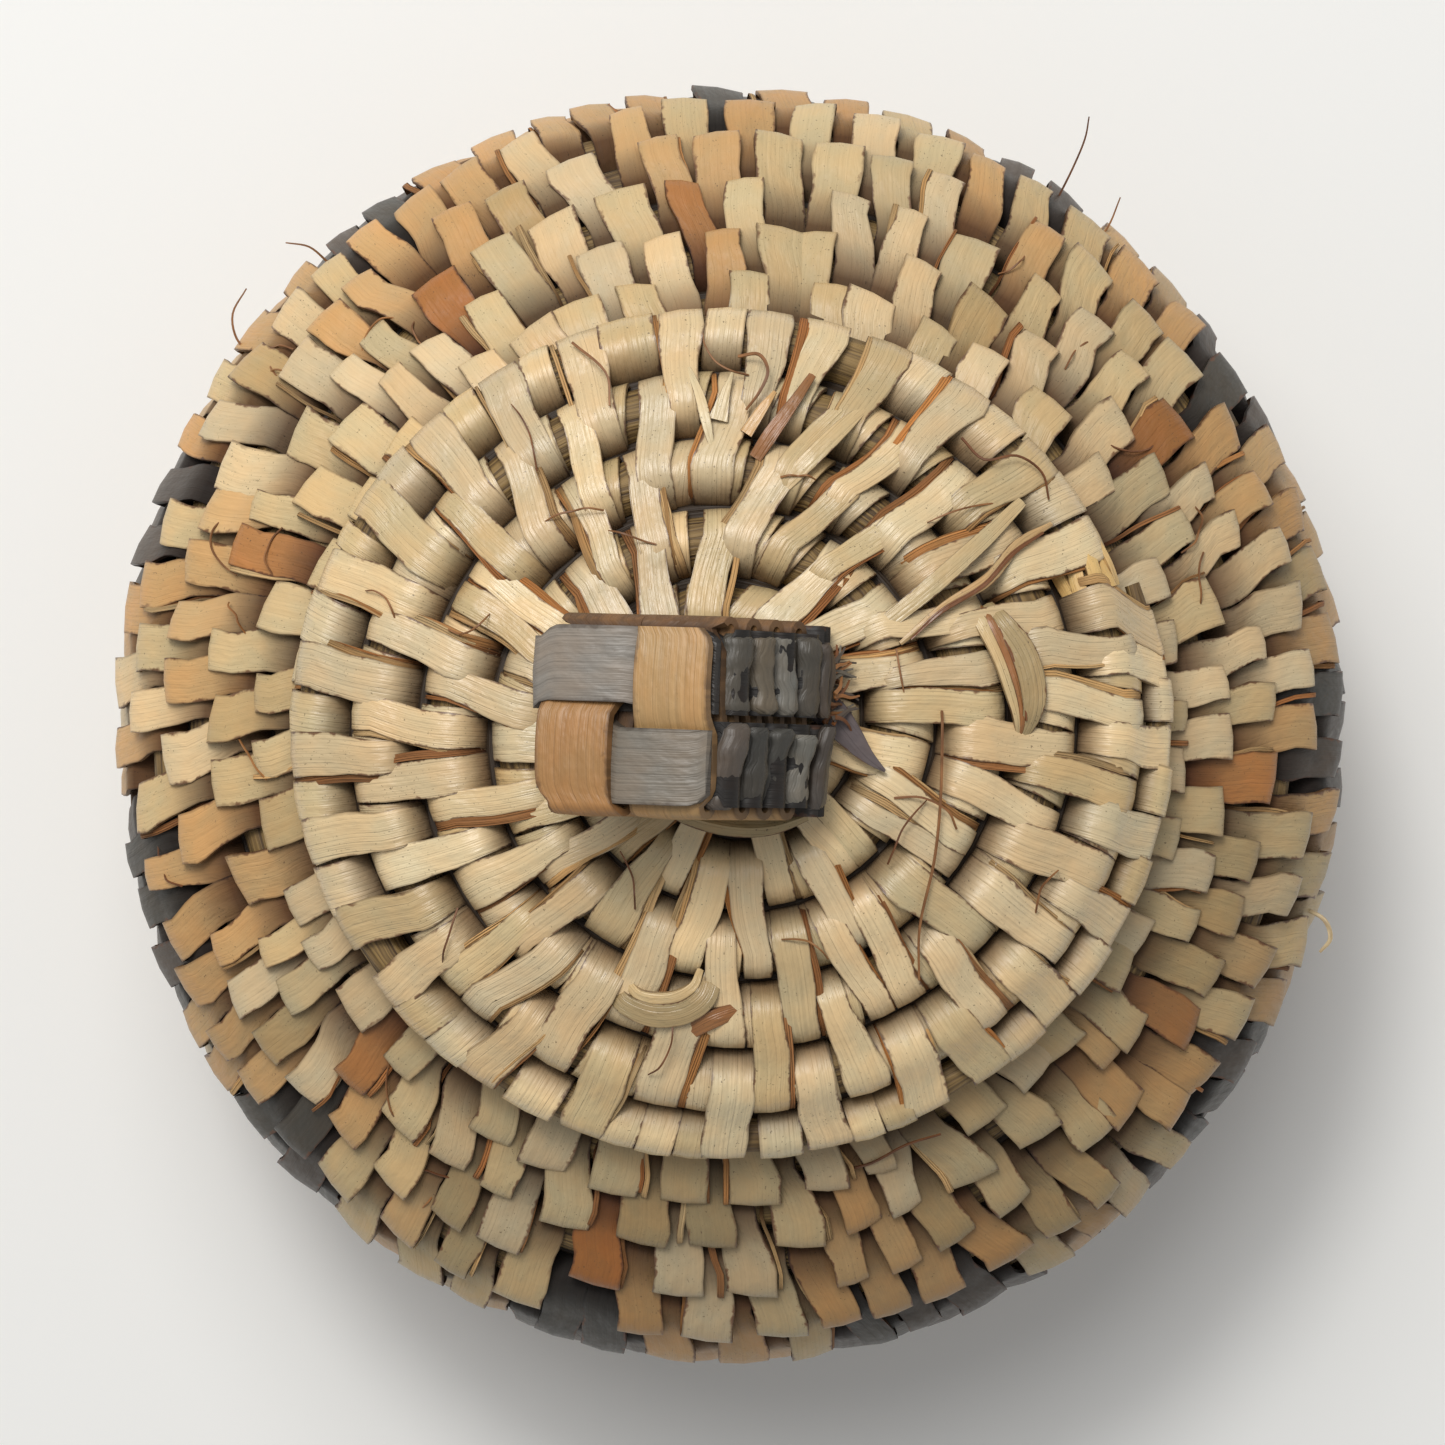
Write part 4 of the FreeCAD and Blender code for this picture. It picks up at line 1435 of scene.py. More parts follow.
    def strips(self, turns: Array, kinds: Sequence[Leaf], fit: Fit) -> Shell:
        """One colour group of strips, darker on the south and east sides and lighter on the west,
        as painted shade and light.

        Args:
            turns: their places.
            kinds: the leaves that they are picked from.
            fit: their widths and shifts.

        Returns:
            One shell.
        """
        tint = mixed_leaves(kinds, len(turns), self.rng, 0.10)
        angle = self.coil.angle(turns)
        # Painted shade and light: darker on the south and east sides, lighter on the west.
        side_shade = (1.0 - self.painted_shade_south * np.maximum(0.0, -np.sin(angle))
                - self.painted_shade_east * np.cos(angle))
        shell = strips_on(self.coil, turns, BODY_PATH, tint * side_shade[:, None], self.rng, fit)
        return self.grounded(shell)

    def top(self, x: Array, y: Array) -> Array:
        """Height of the strips' outside above the belly, read off the meridian by the reach.

        Args:
            x: places east.
            y: places north.

        Returns:
            Heights.
        """
        distance = np.linspace(self.belly, self.coil.meridian.length, 160)
        radius, height, _ = self.coil.meridian.at(distance)
        height = (height + self.coil.lift)[::-1]
        return np.interp(np.hypot(x, y), radius[::-1], height) + self.strip_height

    def add_rim_wraps(self, turns: Array) -> None:
        """Short wraps that fill the room between the strips of the mouth's last turn.

        Args:
            turns: places of the mouth's strips.
        """
        room = np.diff(turns) * FULL_TURN * self.mouth_reach
        width = np.clip(room - self.mouth_strip, 1.0, 4.4)
        tint = varied([Leaf.STRAW.rgb] * len(room), self.rng, 0.12)
        middles = 0.5 * (turns[1:] + turns[:-1])
        shell = hoops_on(self.coil, middles, width, tint, 0.35, 0.0, self.rng)
        self.add("rim_wraps_strips", shell, "strip", "pale_palm", ("rim_wraps",))


# ---- the lid


LID_BANDS = (
    LooseStrip(((25.2, 12.4, -1.6, 1.0), (25.9, 10.9, 0.1, 1.5), (27.6, 7.4, 0.4, 1.3),
                (28.9, 3.8, 0.4, 1.2), (29.9, 0.6, 0.0, 0.9), (30.3, -1.6, -1.4, 0.4)), Leaf.OAT),
    LooseStrip(((26.4, 12.6, -1.5, 0.6), (27.0, 10.8, 0.3, 0.8), (28.6, 7.4, 0.6, 1.0),
                (29.8, 3.8, 0.6, 0.9), (30.4, 0.8, 0.2, 0.8), (30.4, -1.6, -1.3, 0.4)), Leaf.SEPIA),
    LooseStrip(((27.2, 12.8, -1.5, 1.4), (28.2, 10.8, 0.3, 2.2), (30.2, 7.6, 0.8, 2.9),
                (31.2, 4.0, 0.9, 2.9), (31.2, 1.2, 0.5, 2.1), (30.6, -1.7, -1.3, 0.7)), Leaf.AGED),
    LooseStrip(((27.7, 10.2, 0.6, 0.2), (29.0, 7.4, 0.9, 0.45), (30.1, 3.8, 1.0, 0.4),
                (30.6, 0.6, 0.6, 0.2)), Leaf.BARK, 0.2, 0.02),
    LooseStrip(((-12.4, -27.6, -1.4, 1.6), (-11.1, -28.9, 0.0, 2.2), (-8.1, -29.9, 0.5, 2.6),
                (-5.0, -29.6, 0.6, 2.6), (-2.7, -28.1, 0.4, 2.4), (-1.8, -26.0, -1.2, 1.8)),
               Leaf.AGED),
    LooseStrip(((-11.0, -26.8, -1.2, 0.8), (-9.4, -27.9, 0.2, 1.2), (-6.4, -28.1, 0.5, 1.3),
                (-4.0, -27.0, 0.4, 1.0), (-3.2, -25.6, -0.9, 0.7)), Leaf.OAT),
    LooseStrip(((-5.4, -32.8, -0.8, 1.6), (-2.2, -30.6, 0.1, 2.0), (1.2, -29.6, -0.8, 1.6)),
               Leaf.SEPIA),
    LooseStrip(((-4.4, 37.6, -0.2, 0.5), (-3.3, 34.6, 0.3, 1.0), (-2.6, 31.8, 0.4, 1.1),
                (-1.9, 29.0, -0.4, 0.5)), Leaf.CREAM),
    LooseStrip(((0.2, 36.6, 0.9, 0.3), (-0.6, 34.4, 0.6, 1.1), (-1.3, 31.9, 0.1, 2.1)), Leaf.CREAM),
    LooseStrip(((4.6, 34.6, 0.9, 0.4), (3.2, 32.8, 0.5, 1.1), (1.6, 30.6, -0.2, 1.4)), Leaf.BLUSH),
    LooseStrip(((8.5, 36.5, 0.6, 0.8), (6.6, 33.6, 0.8, 1.2), (4.2, 30.4, 0.2, 1.6),
                (2.6, 28.2, -0.8, 1.4)), Leaf.SEPIA),
    LooseStrip(((14.2, 33.6, -0.4, 0.8), (11.6, 31.0, 0.5, 1.7), (8.2, 27.6, 0.5, 1.9),
                (5.4, 25.0, -0.6, 1.5)), Leaf.OAT),
    LooseStrip(((33.6, 21.2, 0.1, 0.5), (29.8, 18.9, 0.5, 1.1), (26.6, 15.2, 0.7, 1.3),
                (22.0, 12.3, 0.6, 1.0), (17.6, 8.6, -0.2, 0.5)), Leaf.BLUSH),
    LooseStrip(((32.6, 20.2, 0.5, 0.25), (29.2, 17.9, 0.9, 0.5), (26.0, 14.5, 1.0, 0.45),
                (21.6, 11.8, 0.9, 0.5), (18.6, 9.0, 0.3, 0.2)), Leaf.BARK, 0.2, 0.02),
    LooseStrip(((30.6, 23.6, -0.2, 1.2), (25.6, 18.8, 0.6, 1.9), (20.2, 14.0, 0.6, 2.0),
                (15.2, 10.0, -0.4, 1.6)), Leaf.OAT),
)
LID_FIBRES = (
    LooseStrip(((21.9, 1.6, 0.0, 0.26), (21.7, -0.6, 0.9, 0.26), (21.5, -7.7, 1.0, 0.28),
                (20.9, -13.9, 0.9, 0.28), (19.5, -20.6, 0.8, 0.24), (19.6, -26.4, 0.3, 0.2)),
               Leaf.SEPIA, 0.18, 0.02),
    LooseStrip(((16.9, -7.4, 0.1, 0.24), (19.6, -7.3, 0.8, 0.24), (22.2, -8.6, 1.0, 0.24),
                (23.3, -10.6, 0.6, 0.2)), Leaf.SEPIA, 0.18, 0.02),
    LooseStrip(((0.8, 38.6, 0.5, 0.3), (2.9, 38.3, 1.6, 0.34), (3.8, 36.3, 2.0, 0.34),
                (2.9, 34.3, 1.4, 0.3), (1.6, 33.0, 0.2, 0.2)), Leaf.SEPIA, 0.18, 0.02),
    LooseStrip(((24.2, 30.2, 0.2, 0.24), (26.2, 27.6, 1.2, 0.24), (29.6, 28.0, 1.4, 0.22),
                (32.4, 26.4, 1.0, 0.2), (33.4, 23.8, 0.2, 0.14)), Leaf.BARK, 0.18, 0.02),
    LooseStrip(((-16.6, 40.2, 0.6, 0.26), (-13.0, 36.8, 0.9, 0.24), (-12.6, 33.4, 0.4, 0.2)),
               Leaf.SEPIA, 0.18, 0.02),
)


@dataclass
class Lid(Part):
    """The domed lid: long strips over two rows, short wraps between them, and torn strands."""

    coil: Coil
    form: LidForm
    spacing_reach: Row = (10.0, 20.0, 30.0, 40.0)
    spacing_there: Row = (6.6, 7.8, 8.6, 9.2)
    near_fit: Triple = (0.95, 2.2, 4.9)
    far_fit: Triple = (0.95, 3.0, 4.9)
    edge_angles: Row = (
        9.6, 16.2, 28.8, 42.6, 55.8, 69.0, 77.4, 84.6, 97.0, 112.2, 123.6, 135.6, 148.2, 158.4,
        172.2, 184.5, 196.2, 210.0, 217.8, 235.8, 249.6, 270.6, 282.9, 298.2, 306.0, 318.6, 332.4,
        345.0, 357.6)
    lean_angles: Row = (0.0, 25.0, 60.0, 100.0, 144.0, 180.0, 248.0, 280.0, 325.0, 360.0)
    lean_inner: Row = (-0.22, -0.28, -0.38, -0.34, -0.22, -0.16, -0.12, 0.02, -0.08, -0.22)
    lean_edge: Row = (-0.10, -0.18, -0.20, -0.12, -0.16, -0.13, -0.12, 0.0, -0.05, -0.10)
    torn_angles: tuple[Pair, ...] = ((95.0, 165.0), (222.0, 268.0))
    bare_angles: Pair = (20.6, 28.0)
    stem_sides: Row = (-62.0, -34.0, -6.0, 20.0, 48.0)
    # Painted light: strips paler on the south side and darker on the north.
    painted_light_south: float = 0.04
    wrap_width: float = 4.0
    least_room: float = 1.6

    def lean(self, turns: Array) -> Array:
        """Sideways run over length of strips, read off by angle, with some chance off the edge.

        Args:
            turns: the strips' places.

        Returns:
            The lean of each.
        """
        angle = self.coil.degrees(turns) % 360.0
        edge = np.interp(angle, self.lean_angles, self.lean_edge)
        inner = np.interp(angle, self.lean_angles, self.lean_inner)
        inner = inner + self.rng.uniform(-0.10, 0.10, len(turns))
        return np.where(turns > self.coil.full_turns, edge, inner)

    def build(self) -> None:
        """Makes all pieces of the lid's dome."""
        coil, rng = self.coil, self.rng
        shell = bundle_on(coil, 0.0, coil.turns, 72, rng)
        self.add("lid_bundle", shell, "bundle", "fibre_bundle", ("lid_coil", "lid_edge_coil"))
        row = np.sort(np.array([coil.turn_at_angle(a) for a in self.edge_angles]))[::-1]
        spacing = partial(np.interp, xp=self.spacing_reach, fp=self.spacing_there)
        turns = brick_turns(coil, row, spacing, 1.0, True, rng)
        turns = np.sort(turns[(turns > 1.0) & (turns <= coil.turns)])
        fit = fitted(coil, turns, self.near_fit, self.far_fit, 0.6, self.lean(turns), rng)
        kinds = (Leaf.STRAW, Leaf.CREAM, Leaf.STRAW, Leaf.OAT)
        tint = mixed_leaves(kinds, len(turns), rng, 0.10)
        # Painted light: paler on the south side, darker on the north.
        tint = tint * (1.0 - self.painted_light_south * np.sin(coil.angle(turns)))[:, None]
        shell = strips_on(coil, turns, LID_PATH, tint, rng, fit)
        self.add("lid_long_strips", shell, "lid_strip", "pale_palm",
                 ("lid_inner_stitches", "lid_edge_stitches"))
        angle = coil.degrees(turns) % 360.0
        torn = np.any([(angle > low) & (angle < high) for low, high in self.torn_angles], axis=0)
        shell = frayed(coil, turns, LID_PATH, fit, np.where(torn, 0.95, 0.5), 1.5, rng)
        self.add("frayed_lid_strands", shell, "torn", "pale_palm")
        self.add_wraps(turns, fit)
        self.add_bare_place()
        shell = laid(LID_BANDS, self.top, rng)
        self.add("lid_mending_bands", shell, "lid_strip", "pale_palm", ("lid_mending_strips",))
        shell = laid((*LID_FIBRES, *curls(16, (14.0, 41.0), rng)), self.top, rng)
        self.add("lid_hairs", shell, "fibre", "pale_palm")

    def add_wraps(self, turns: Array, fit: Fit) -> None:
        """Short wraps that share out the room between two long strips evenly.

        Args:
            turns: places of the long strips.
            fit: their fit.
        """
        coil, rng = self.coil, self.rng
        turns = np.concatenate([[0.15, 0.55], turns])
        taken = np.concatenate([[3.0, 3.0], fit.far_width])
        reach = FULL_TURN * coil.reach(turns)
        places, widths = [], []
        for k in range(len(turns) - 1):
            step = turns[k + 1] - turns[k]
            room = step * reach[k] - 0.5 * (taken[k] + taken[k + 1])
            number = int(round(room / self.wrap_width)) if room > self.least_room else 0
            for j in range(number):
                share = (0.5 * taken[k] + room * (j + 0.5) / number) / (step * reach[k])
                places.append(turns[k] + step * share)
                widths.append(room / number + rng.uniform(0.0, 0.4))
        places, widths = np.array(places), np.array(widths)
        angle, edge = coil.degrees(places) % 360.0, places > coil.full_turns
        bare = edge & (angle > self.bare_angles[0]) & (angle < self.bare_angles[1])
        places, widths, edge = places[~bare], widths[~bare], edge[~bare]
        lean = self.lean(places)
        for name, chosen, gap, nodes in (("lid_edge_short_strips", edge, 0.42, ("lid_edge_wraps",)),
                                         ("lid_inner_short_strips", ~edge, 0.22, ())):
            kinds = (Leaf.STRAW, Leaf.CREAM, Leaf.OAT)
            tint = mixed_leaves(kinds, int(chosen.sum()), rng, 0.12)
            shell = hoops_on(coil, places[chosen], widths[chosen], tint, gap, lean[chosen], rng)
            self.add(name, shell, "lid_strip", "pale_palm", nodes)

    def top(self, x: Array, y: Array) -> Array:
        """Height of the strips' outside: the dome's circle, raised by the strips.

        Args:
            x: places east.
            y: places north.

        Returns:
            Heights.
        """
        dome = self.form.dome_radius
        reach = np.minimum(np.hypot(x, y), 46.0)
        return self.coil.lift - dome + np.sqrt(dome ** 2 - reach ** 2) + self.form.strip_height

    def add_bare_place(self) -> None:
        """Stems of the foundation, each on its own side of the bundle, where wraps are lost."""
        steps = 9
        first, last = (self.coil.turn_at_angle(a) for a in self.bare_angles)
        side = np.radians(self.stem_sides)[:, None]
        at = self.coil.frames(np.linspace(first, last, steps))
        wave = 0.25 * np.sin(np.linspace(0.0, 4.0, steps)[None] + side * 7.0)
        turn = side + 0.08 * np.sin(np.linspace(0.0, 3.0, steps)[None] + 3.0 * side)
        face = at.down[None] * np.sin(turn)[..., None] + at.out[None] * np.cos(turn)[..., None]
        centre = at.origin[None] + face * (at.size[None] + 0.15 + wave * 0.6)[..., None]
        tint = varied([Leaf.STEM.rgb] * len(side), self.rng, 0.10)
        shell = sweep(centre, face, np.cross(face, at.along[None]), np.full(turn.shape, 0.85), 0.4,
                      0.3, tint, 0.0, self.rng.uniform(0.0, SEED_SPREAD, len(side)), False)
        self.add("lid_bare_stems", shell, "strip", "fibre_bundle")


@dataclass
class Flange(Part):
    """Two loops under the lid that sit inside the mouth, and the strips that bind them."""

    top: float
    radius: float = 33.8
    drop: float = 6.0
    start: float = math.radians(20.0)
    climb: float = 60.0 / 360.0
    bundle_radius: float = 2.25
    ring_radius: float = 2.75
    count: int = 46
    strip_half: float = 2.0
    strip_thickness: float = 0.4

    def path(self, t: Array) -> Array:
        """Middle of the bundle: a circle that climbs from one loop to the next by an S curve.

        Args:
            t: turns from its start.

        Returns:
            Points.
        """
        share = np.clip((t - (1.0 - self.climb)) / self.climb, 0.0, 1.0)
        height = self.top - self.drop * (1.0 - share * share * (3.0 - 2.0 * share))
        angle = self.start + FULL_TURN * t
        return stacked(self.radius * np.cos(angle), self.radius * np.sin(angle), height)

    def build(self) -> None:
        """Makes the bundle, and strips round both loops: circles pulled apart at their middle."""
        turns = np.linspace(0.0, 2.0 - self.climb, 150)
        angle = self.start + FULL_TURN * turns
        out = stacked(np.cos(angle), np.sin(angle), 0.0)
        along = unit(self.path(turns + 0.001) - self.path(turns - 0.001))
        shell = tubes(self.path(turns)[None], out[None], np.cross(along, out)[None],
                      np.full((1, len(turns)), self.bundle_radius), 18, np.array([Leaf.STEM.rgb]),
                      np.array([1.0]), 9, 0.07, (0.3 * turns * 40.0)[None])
        self.add("flange_bundle", shell, "bundle", "fibre_bundle", ("lid_flange_coil",))
        count, steps = self.count, 14
        places = np.linspace(1.0 + 0.01, 2.0 - self.climb - 0.01, count)
        angle = self.start + FULL_TURN * places
        upper, lower = self.path(places), self.path(places - 1.0)
        out = stacked(np.cos(angle), np.sin(angle), 0.0)
        side = stacked(-np.sin(angle), np.cos(angle), 0.0)[:, None]
        turn = np.arange(steps) / steps * FULL_TURN
        ring_up = -np.sin(turn) * self.ring_radius
        ring = (out[:, None] * (np.cos(turn) * self.ring_radius)[None, :, None]
                + UP * ring_up[None, :, None])
        share = np.where(ring_up > 0.0, 1.0, 0.0)
        slant = self.rng.uniform(-0.8, 0.8, count)[:, None] * (share - 0.5)
        above = share[None, :, None]
        centre = (upper[:, None] * above + lower[:, None] * (1.0 - above) + ring
                  + side * slant[..., None])
        tint = varied([Leaf.OAT.rgb] * count, self.rng, 0.12)
        # Tuck 0.15 darkens the strips all over with painted shade under the lid.
        shell = sweep(centre, unit(ring), np.broadcast_to(side, centre.shape),
                      np.full((count, steps), self.strip_half), self.strip_thickness, 0.12, tint,
                      0.15, self.rng.uniform(0.0, SEED_SPREAD, count), True)
        self.add("flange_strips", shell, "strip", "pale_palm", ("lid_flange_stitches",))


# ---- the knob


KNOB_TAIL = LooseStrip(((8.6, 2.6, 2.4, 3.4), (10.4, 1.2, 1.8, 3.4), (12.2, -0.9, 1.1, 2.7),
                        (14.0, -3.0, 0.5, 1.5), (15.9, -4.6, 0.1, 0.3)), Leaf.TAIL)
KNOB_UNDER = LooseStrip(((-7.4, -7.4, 5.2, 1.4), (-5.0, -8.9, 4.6, 1.8), (-2.0, -9.9, 4.0, 2.0),
                         (1.4, -10.4, 3.4, 2.0), (4.6, -10.2, 2.8, 1.7), (7.8, -9.2, 2.3, 1.0)),
                        Leaf.AGED, 0.5, 0.4)


@dataclass
class Knob(Part):
    """A square plaited knob: four strips folded over each other in a leaning stack."""

    foot: float
    length: float = 19.6
    width: float = 19.5
    offset: float = 0.8
    overrun: float = 1.15
    bar_radius: float = 1.40
    wedge_bar_radius: float = 0.95
    rounds: int = 9
    pleats: int = 4
    pitch: float = 0.9
    thickness: float = 0.72
    crown: float = 0.45
    gap: float = 0.35
    clearance: float = 0.2
    lift: float = 0.3
    tilt: float = 18.0
    slide: float = 0.35
    turn: float = -2.0
    top_steps: int = 21
    fold_steps: int = 9

    def placed(self, points: Array, sheared: bool) -> Array:
        """Points of the upright stack, slid west by height, leaned about its west foot and turned.

        Args:
            points: the points.
            sheared: whether they belong to the stack, and otherwise they are already leaned.

        Returns:
            The points on the lid.
        """
        x, y, z = points[..., 0], points[..., 1], points[..., 2]
        if sheared:
            lean, pivot = math.radians(self.tilt), -0.5 * self.length
            x = x - self.slide * z
            z = z + 0.5 * self.thickness + self.lift
            reach = x - pivot
            x = pivot + reach * math.cos(lean) - z * math.sin(lean)
            z = reach * math.sin(lean) + z * math.cos(lean)
        spin = math.radians(self.turn)
        return stacked(x * math.cos(spin) - y * math.sin(spin),
                       x * math.sin(spin) + y * math.cos(spin) + self.offset, z + self.foot)

    def ribbon(self, half: float, over_first: bool) -> tuple[Array, ...]:
        """One strip folded back and forth: level runs with a step at the middle, and round folds.

        Args:
            half: half of its span.
            over_first: whether it lies above the crossing strip on its first half.

        Returns:
            Path points (P, 2) as run and height, the tuck at each (painted shade), whether it is on
            the top pad, and its run from -1 to 1.
        """
        path, tuck, pad, runs = [], [], [], []
        bend = self.pitch
        for k in range(self.rounds):
            top = k == self.rounds - 1
            run = np.linspace(-1.0, 1.0, self.top_steps if top else self.fold_steps)
            low, high = 2.0 * k * self.pitch, (2.0 * k + 1.0) * self.pitch
            a, b = (high, low) if over_first else (low, high)
            middle = (self.overrun / half if over_first else -self.overrun / half) if top else 0.0
            step = 0.5 + 0.5 * np.tanh((run - middle) * (14.0 if top else 6.0))
            on_pad = (run < middle if over_first else run > middle) & top
            bulge = np.sin(np.pi * np.abs(run - middle).clip(0.0, 1.0)) ** 0.6
            heights = a + (b - a) * step + np.where(on_pad, self.crown * bulge, 0.0)
            order = slice(None, None, 1 if k % 2 == 0 else -1)
            path += list(stacked(run * (half - bend), heights)[order])
            # Painted shade: runs inside the stack get tuck 0.6, folds 0.15 and the top none.
            tuck += [0.0 if top else 0.6] * len(run)
            pad += list(on_pad[order])
            runs += list(run[order])
            if not top:
                side, start = (1.0, b) if k % 2 == 0 else (-1.0, a)
                phi = np.linspace(-0.5 * math.pi, 0.5 * math.pi, 7)[1:-1]
                path += list(stacked(side * (half - bend + bend * np.cos(phi)),
                                     start + self.pitch + self.pitch * np.sin(phi)))
                tuck += [0.15] * len(phi)
                pad += [False] * len(phi)
                runs += [side] * len(phi)
        return np.array(path), np.array(tuck), np.array(pad), np.array(runs)

    def build(self) -> None:
        """Makes all pieces of the knob."""
        edge = self.thickness + self.clearance
        end_x, end_y = 0.5 * self.length - edge, 0.5 * self.width - edge
        for name, cad, over_first, east, side, leaf, far_leaf_and_shade, slot in (
                ("knob_grey_back", "knob_grey_strip_back", True, True, 1.0, Leaf.GREY, Leaf.SOOT,
                 "grey_palm"),
                ("knob_grey_front", "knob_grey_strip_front", False, True, -1.0, Leaf.SLATE,
                 Leaf.SOOT, "grey_palm"),
                ("knob_tan_left", "knob_tan_strip_left", True, False, -1.0, Leaf.UMBER, Leaf.UMBER,
                 "tan_palm"),
                ("knob_tan_right", "knob_tan_strip_right", False, False, 1.0, Leaf.OCHRE,
                 Leaf.UMBER, "tan_palm")):
            span = self.length if east else self.width
            path, tuck, pad, run = self.ribbon(0.5 * span, over_first)
            way = unit(np.gradient(path, axis=0))
            inner = np.where(pad, self.overrun + 0.1, self.gap)
            inner = np.convolve(np.pad(inner, 1, mode="edge"), (0.25, 0.5, 0.25), "valid")
            topmost = np.arange(len(path)) >= len(path) - self.top_steps - 14
            corner = 1.2 * np.clip((np.abs(run) - 0.72) / 0.28, 0.0, 1.0) ** 2.5
            outer = (end_y if east else end_x) - np.where(topmost, corner, 0.0)
            middle, half = side * 0.5 * (inner + outer), 0.5 * (outer - inner)
            # The strip is worked out along x, and a tan one is turned to run along y.
            centre = stacked(path[:, 0], middle, path[:, 1])
            out = stacked(-way[:, 1], 0.0, way[:, 0])
            along = np.broadcast_to([0.0, 1.0, 0.0] if east else [-1.0, 0.0, 0.0], out.shape)
            if not east:
                centre, out = centre[:, [1, 0, 2]], out[:, [1, 0, 2]]
            # Off the top pad the strip darkens towards its far end, partly its own darker leaf and
            # partly painted shade.
            dark = np.where(pad, 0.0, np.clip((run - 0.35) * 3.0, 0.0, 1.0))[:, None]
            tint = np.array(leaf.rgb)[None] * (1.0 - dark) + np.array(far_leaf_and_shade.rgb)[None] * dark
            shell = sweep(centre[None], out[None], along[None], half[None], self.thickness, 0.15,
                          tint[None], tuck[None], self.rng.uniform(0.0, SEED_SPREAD, 1), False)
            shell.vertices = self.placed(shell.vertices, True)
            self.add(name, shell, "knob", slot, (cad,), 50.0)
        self.add_bars(end_y)
        self.add_pleats()
        self.add_loose_ends()
        self.add_stem()

    def add_bars(self, end: float) -> None:
        """Crumpled fold edges, nearly black, one behind the other on the stack's right side.

        Each bar is a tube across the stack that wavers by sines of its length.

        Args:
            end: how far the folds reach from the middle.
        """
        rng, steps, half, gap = self.rng, 15, 0.5 * self.length, self.gap + 0.2
        stack, wedge = [], []
        for low, high, first, slant in ((gap, end, 0.0, -0.03), (-end, -gap, 1.0, 0.15)):
            for k in range(0, self.rounds - 1, 2):
                y = np.linspace(low - rng.uniform(-0.2, 0.3), high + rng.uniform(-0.9, 0.2), steps)
                run = slant * (y - 0.5 * (low + high))
                level = (2.0 * k + first) * self.pitch + self.pitch
                stack.append(stacked(half - 0.85 + run, y, level))
            for k in range(self.pleats):
                y = np.linspace(low - rng.uniform(-0.2, 0.3), high + rng.uniform(-1.2, 0.1), steps)
                turn = math.radians(self.tilt / self.pleats * (k + 0.5))
                reach = self.length + 0.1 - 0.3 * (3 - k) + slant * (y - 0.5 * (low + high))
                wedge.append(stacked(reach * math.cos(turn) - half, y, reach * math.sin(turn)))
        kinds = (Leaf.CHARCOAL, Leaf.DARK, Leaf.ASH, Leaf.DARK)
        shells = []
        for bars, sheared, size in ((stack, True, self.bar_radius),
                                    (wedge, False, self.wedge_bar_radius)):
            count = len(bars)
            t = np.linspace(0.0, 1.0, steps)[None]
            phase = rng.uniform(0.0, FULL_TURN, (count, 4))
            wobble = 0.22 * np.sin(5.0 * t + phase[:, :1]) + rng.uniform(-0.2, 0.2, (count, 1))
            rise = 0.12 * np.sin(7.0 * t + phase[:, 1:2])
            centre = np.array(bars) + stacked(wobble, 0.0, rise)
            thick = size * (1.0 + 0.07 * np.sin(9.0 * t + phase[:, 2:3])
                            + 0.04 * np.sin(23.0 * t + phase[:, 3:4]))
            thick = thick * np.where((t < 0.01) | (t > 0.99), 0.7, 1.0)
            tint = mixed_leaves(kinds, count, rng, 0.2)
            shell = tubes(centre, np.broadcast_to(EAST, centre.shape),
                          np.broadcast_to(DOWN, centre.shape), thick, 24, tint,
                          rng.uniform(0.0, SEED_SPREAD, count), 7, 0.09, 0.8 * t + phase[:, :1])
            shell.vertices = self.placed(shell.vertices, sheared)
            shells.append(shell)
        self.add("knob_fold_bars", all_joined(shells), "knob", "dark_palm", (), 60.0)

    def add_pleats(self) -> None:
        """Folded leaf that fills the wedge between the lid and the leaning stack.

        Each pleat is a strip that runs out along one side of its slice of the wedge, round its
        blunt end and back along the other."""
        bands, slice_angle, margin = [], self.tilt / self.pleats, 0.9
        near, far = 3.0, self.length - 0.6
        half = 0.5 * self.width
        for k in range(self.pleats):
            low, high = (math.radians(slice_angle * (k + end) + inset)
                         for end, inset in ((0, margin), (1, -margin)))
            corner = [(near, low), (0.5 * (near + far), low), (far, low),
                      (far + 0.45, 0.75 * low + 0.25 * high), (far + 0.6, 0.5 * (low + high)),
                      (far + 0.45, 0.25 * low + 0.75 * high), (far, high),
                      (0.5 * (near + far), high), (near, high)]
            ring = np.array([(r * math.cos(a) - 0.5 * self.length, r * math.sin(a))
                             for r, a in corner])
            way = unit(np.gradient(ring, axis=0))
            for middle in (0.5 * (self.gap + half), 0.5 * (-half - self.gap)):
                bands.append((stacked(ring[:, 0], middle, ring[:, 1]),
                              stacked(way[:, 1], 0.0, -way[:, 0])))
        centre, out = (np.array(part) for part in zip(*bands))
        tint = varied([Leaf.SOOT.rgb] * len(bands), self.rng, 0.2)
        # Tuck 0.2 darkens the pleats all over with painted shade under the stack.
        shell = sweep(centre, out, np.broadcast_to(SOUTH, centre.shape),
                      np.full(centre.shape[:2], 0.5 * (half - self.gap)), 0.35, 0.05, tint, 0.2,
                      self.rng.uniform(0.0, SEED_SPREAD, len(bands)), False)
        shell.vertices = self.placed(shell.vertices, False)
        self.add("knob_pleats", shell, "strip", "dark_palm", ("knob_foot_pleats",), 50.0)

    def add_loose_ends(self) -> None:
        """The grey tail, the frayed tuft beside it and the pale strip below the stack."""
        rng, foot, hairs = self.rng, self.foot - 0.3, 44

        def level(x: Array, y: Array) -> Array:
            """The height of the knob's foot everywhere."""
            return np.full_like(x, foot)

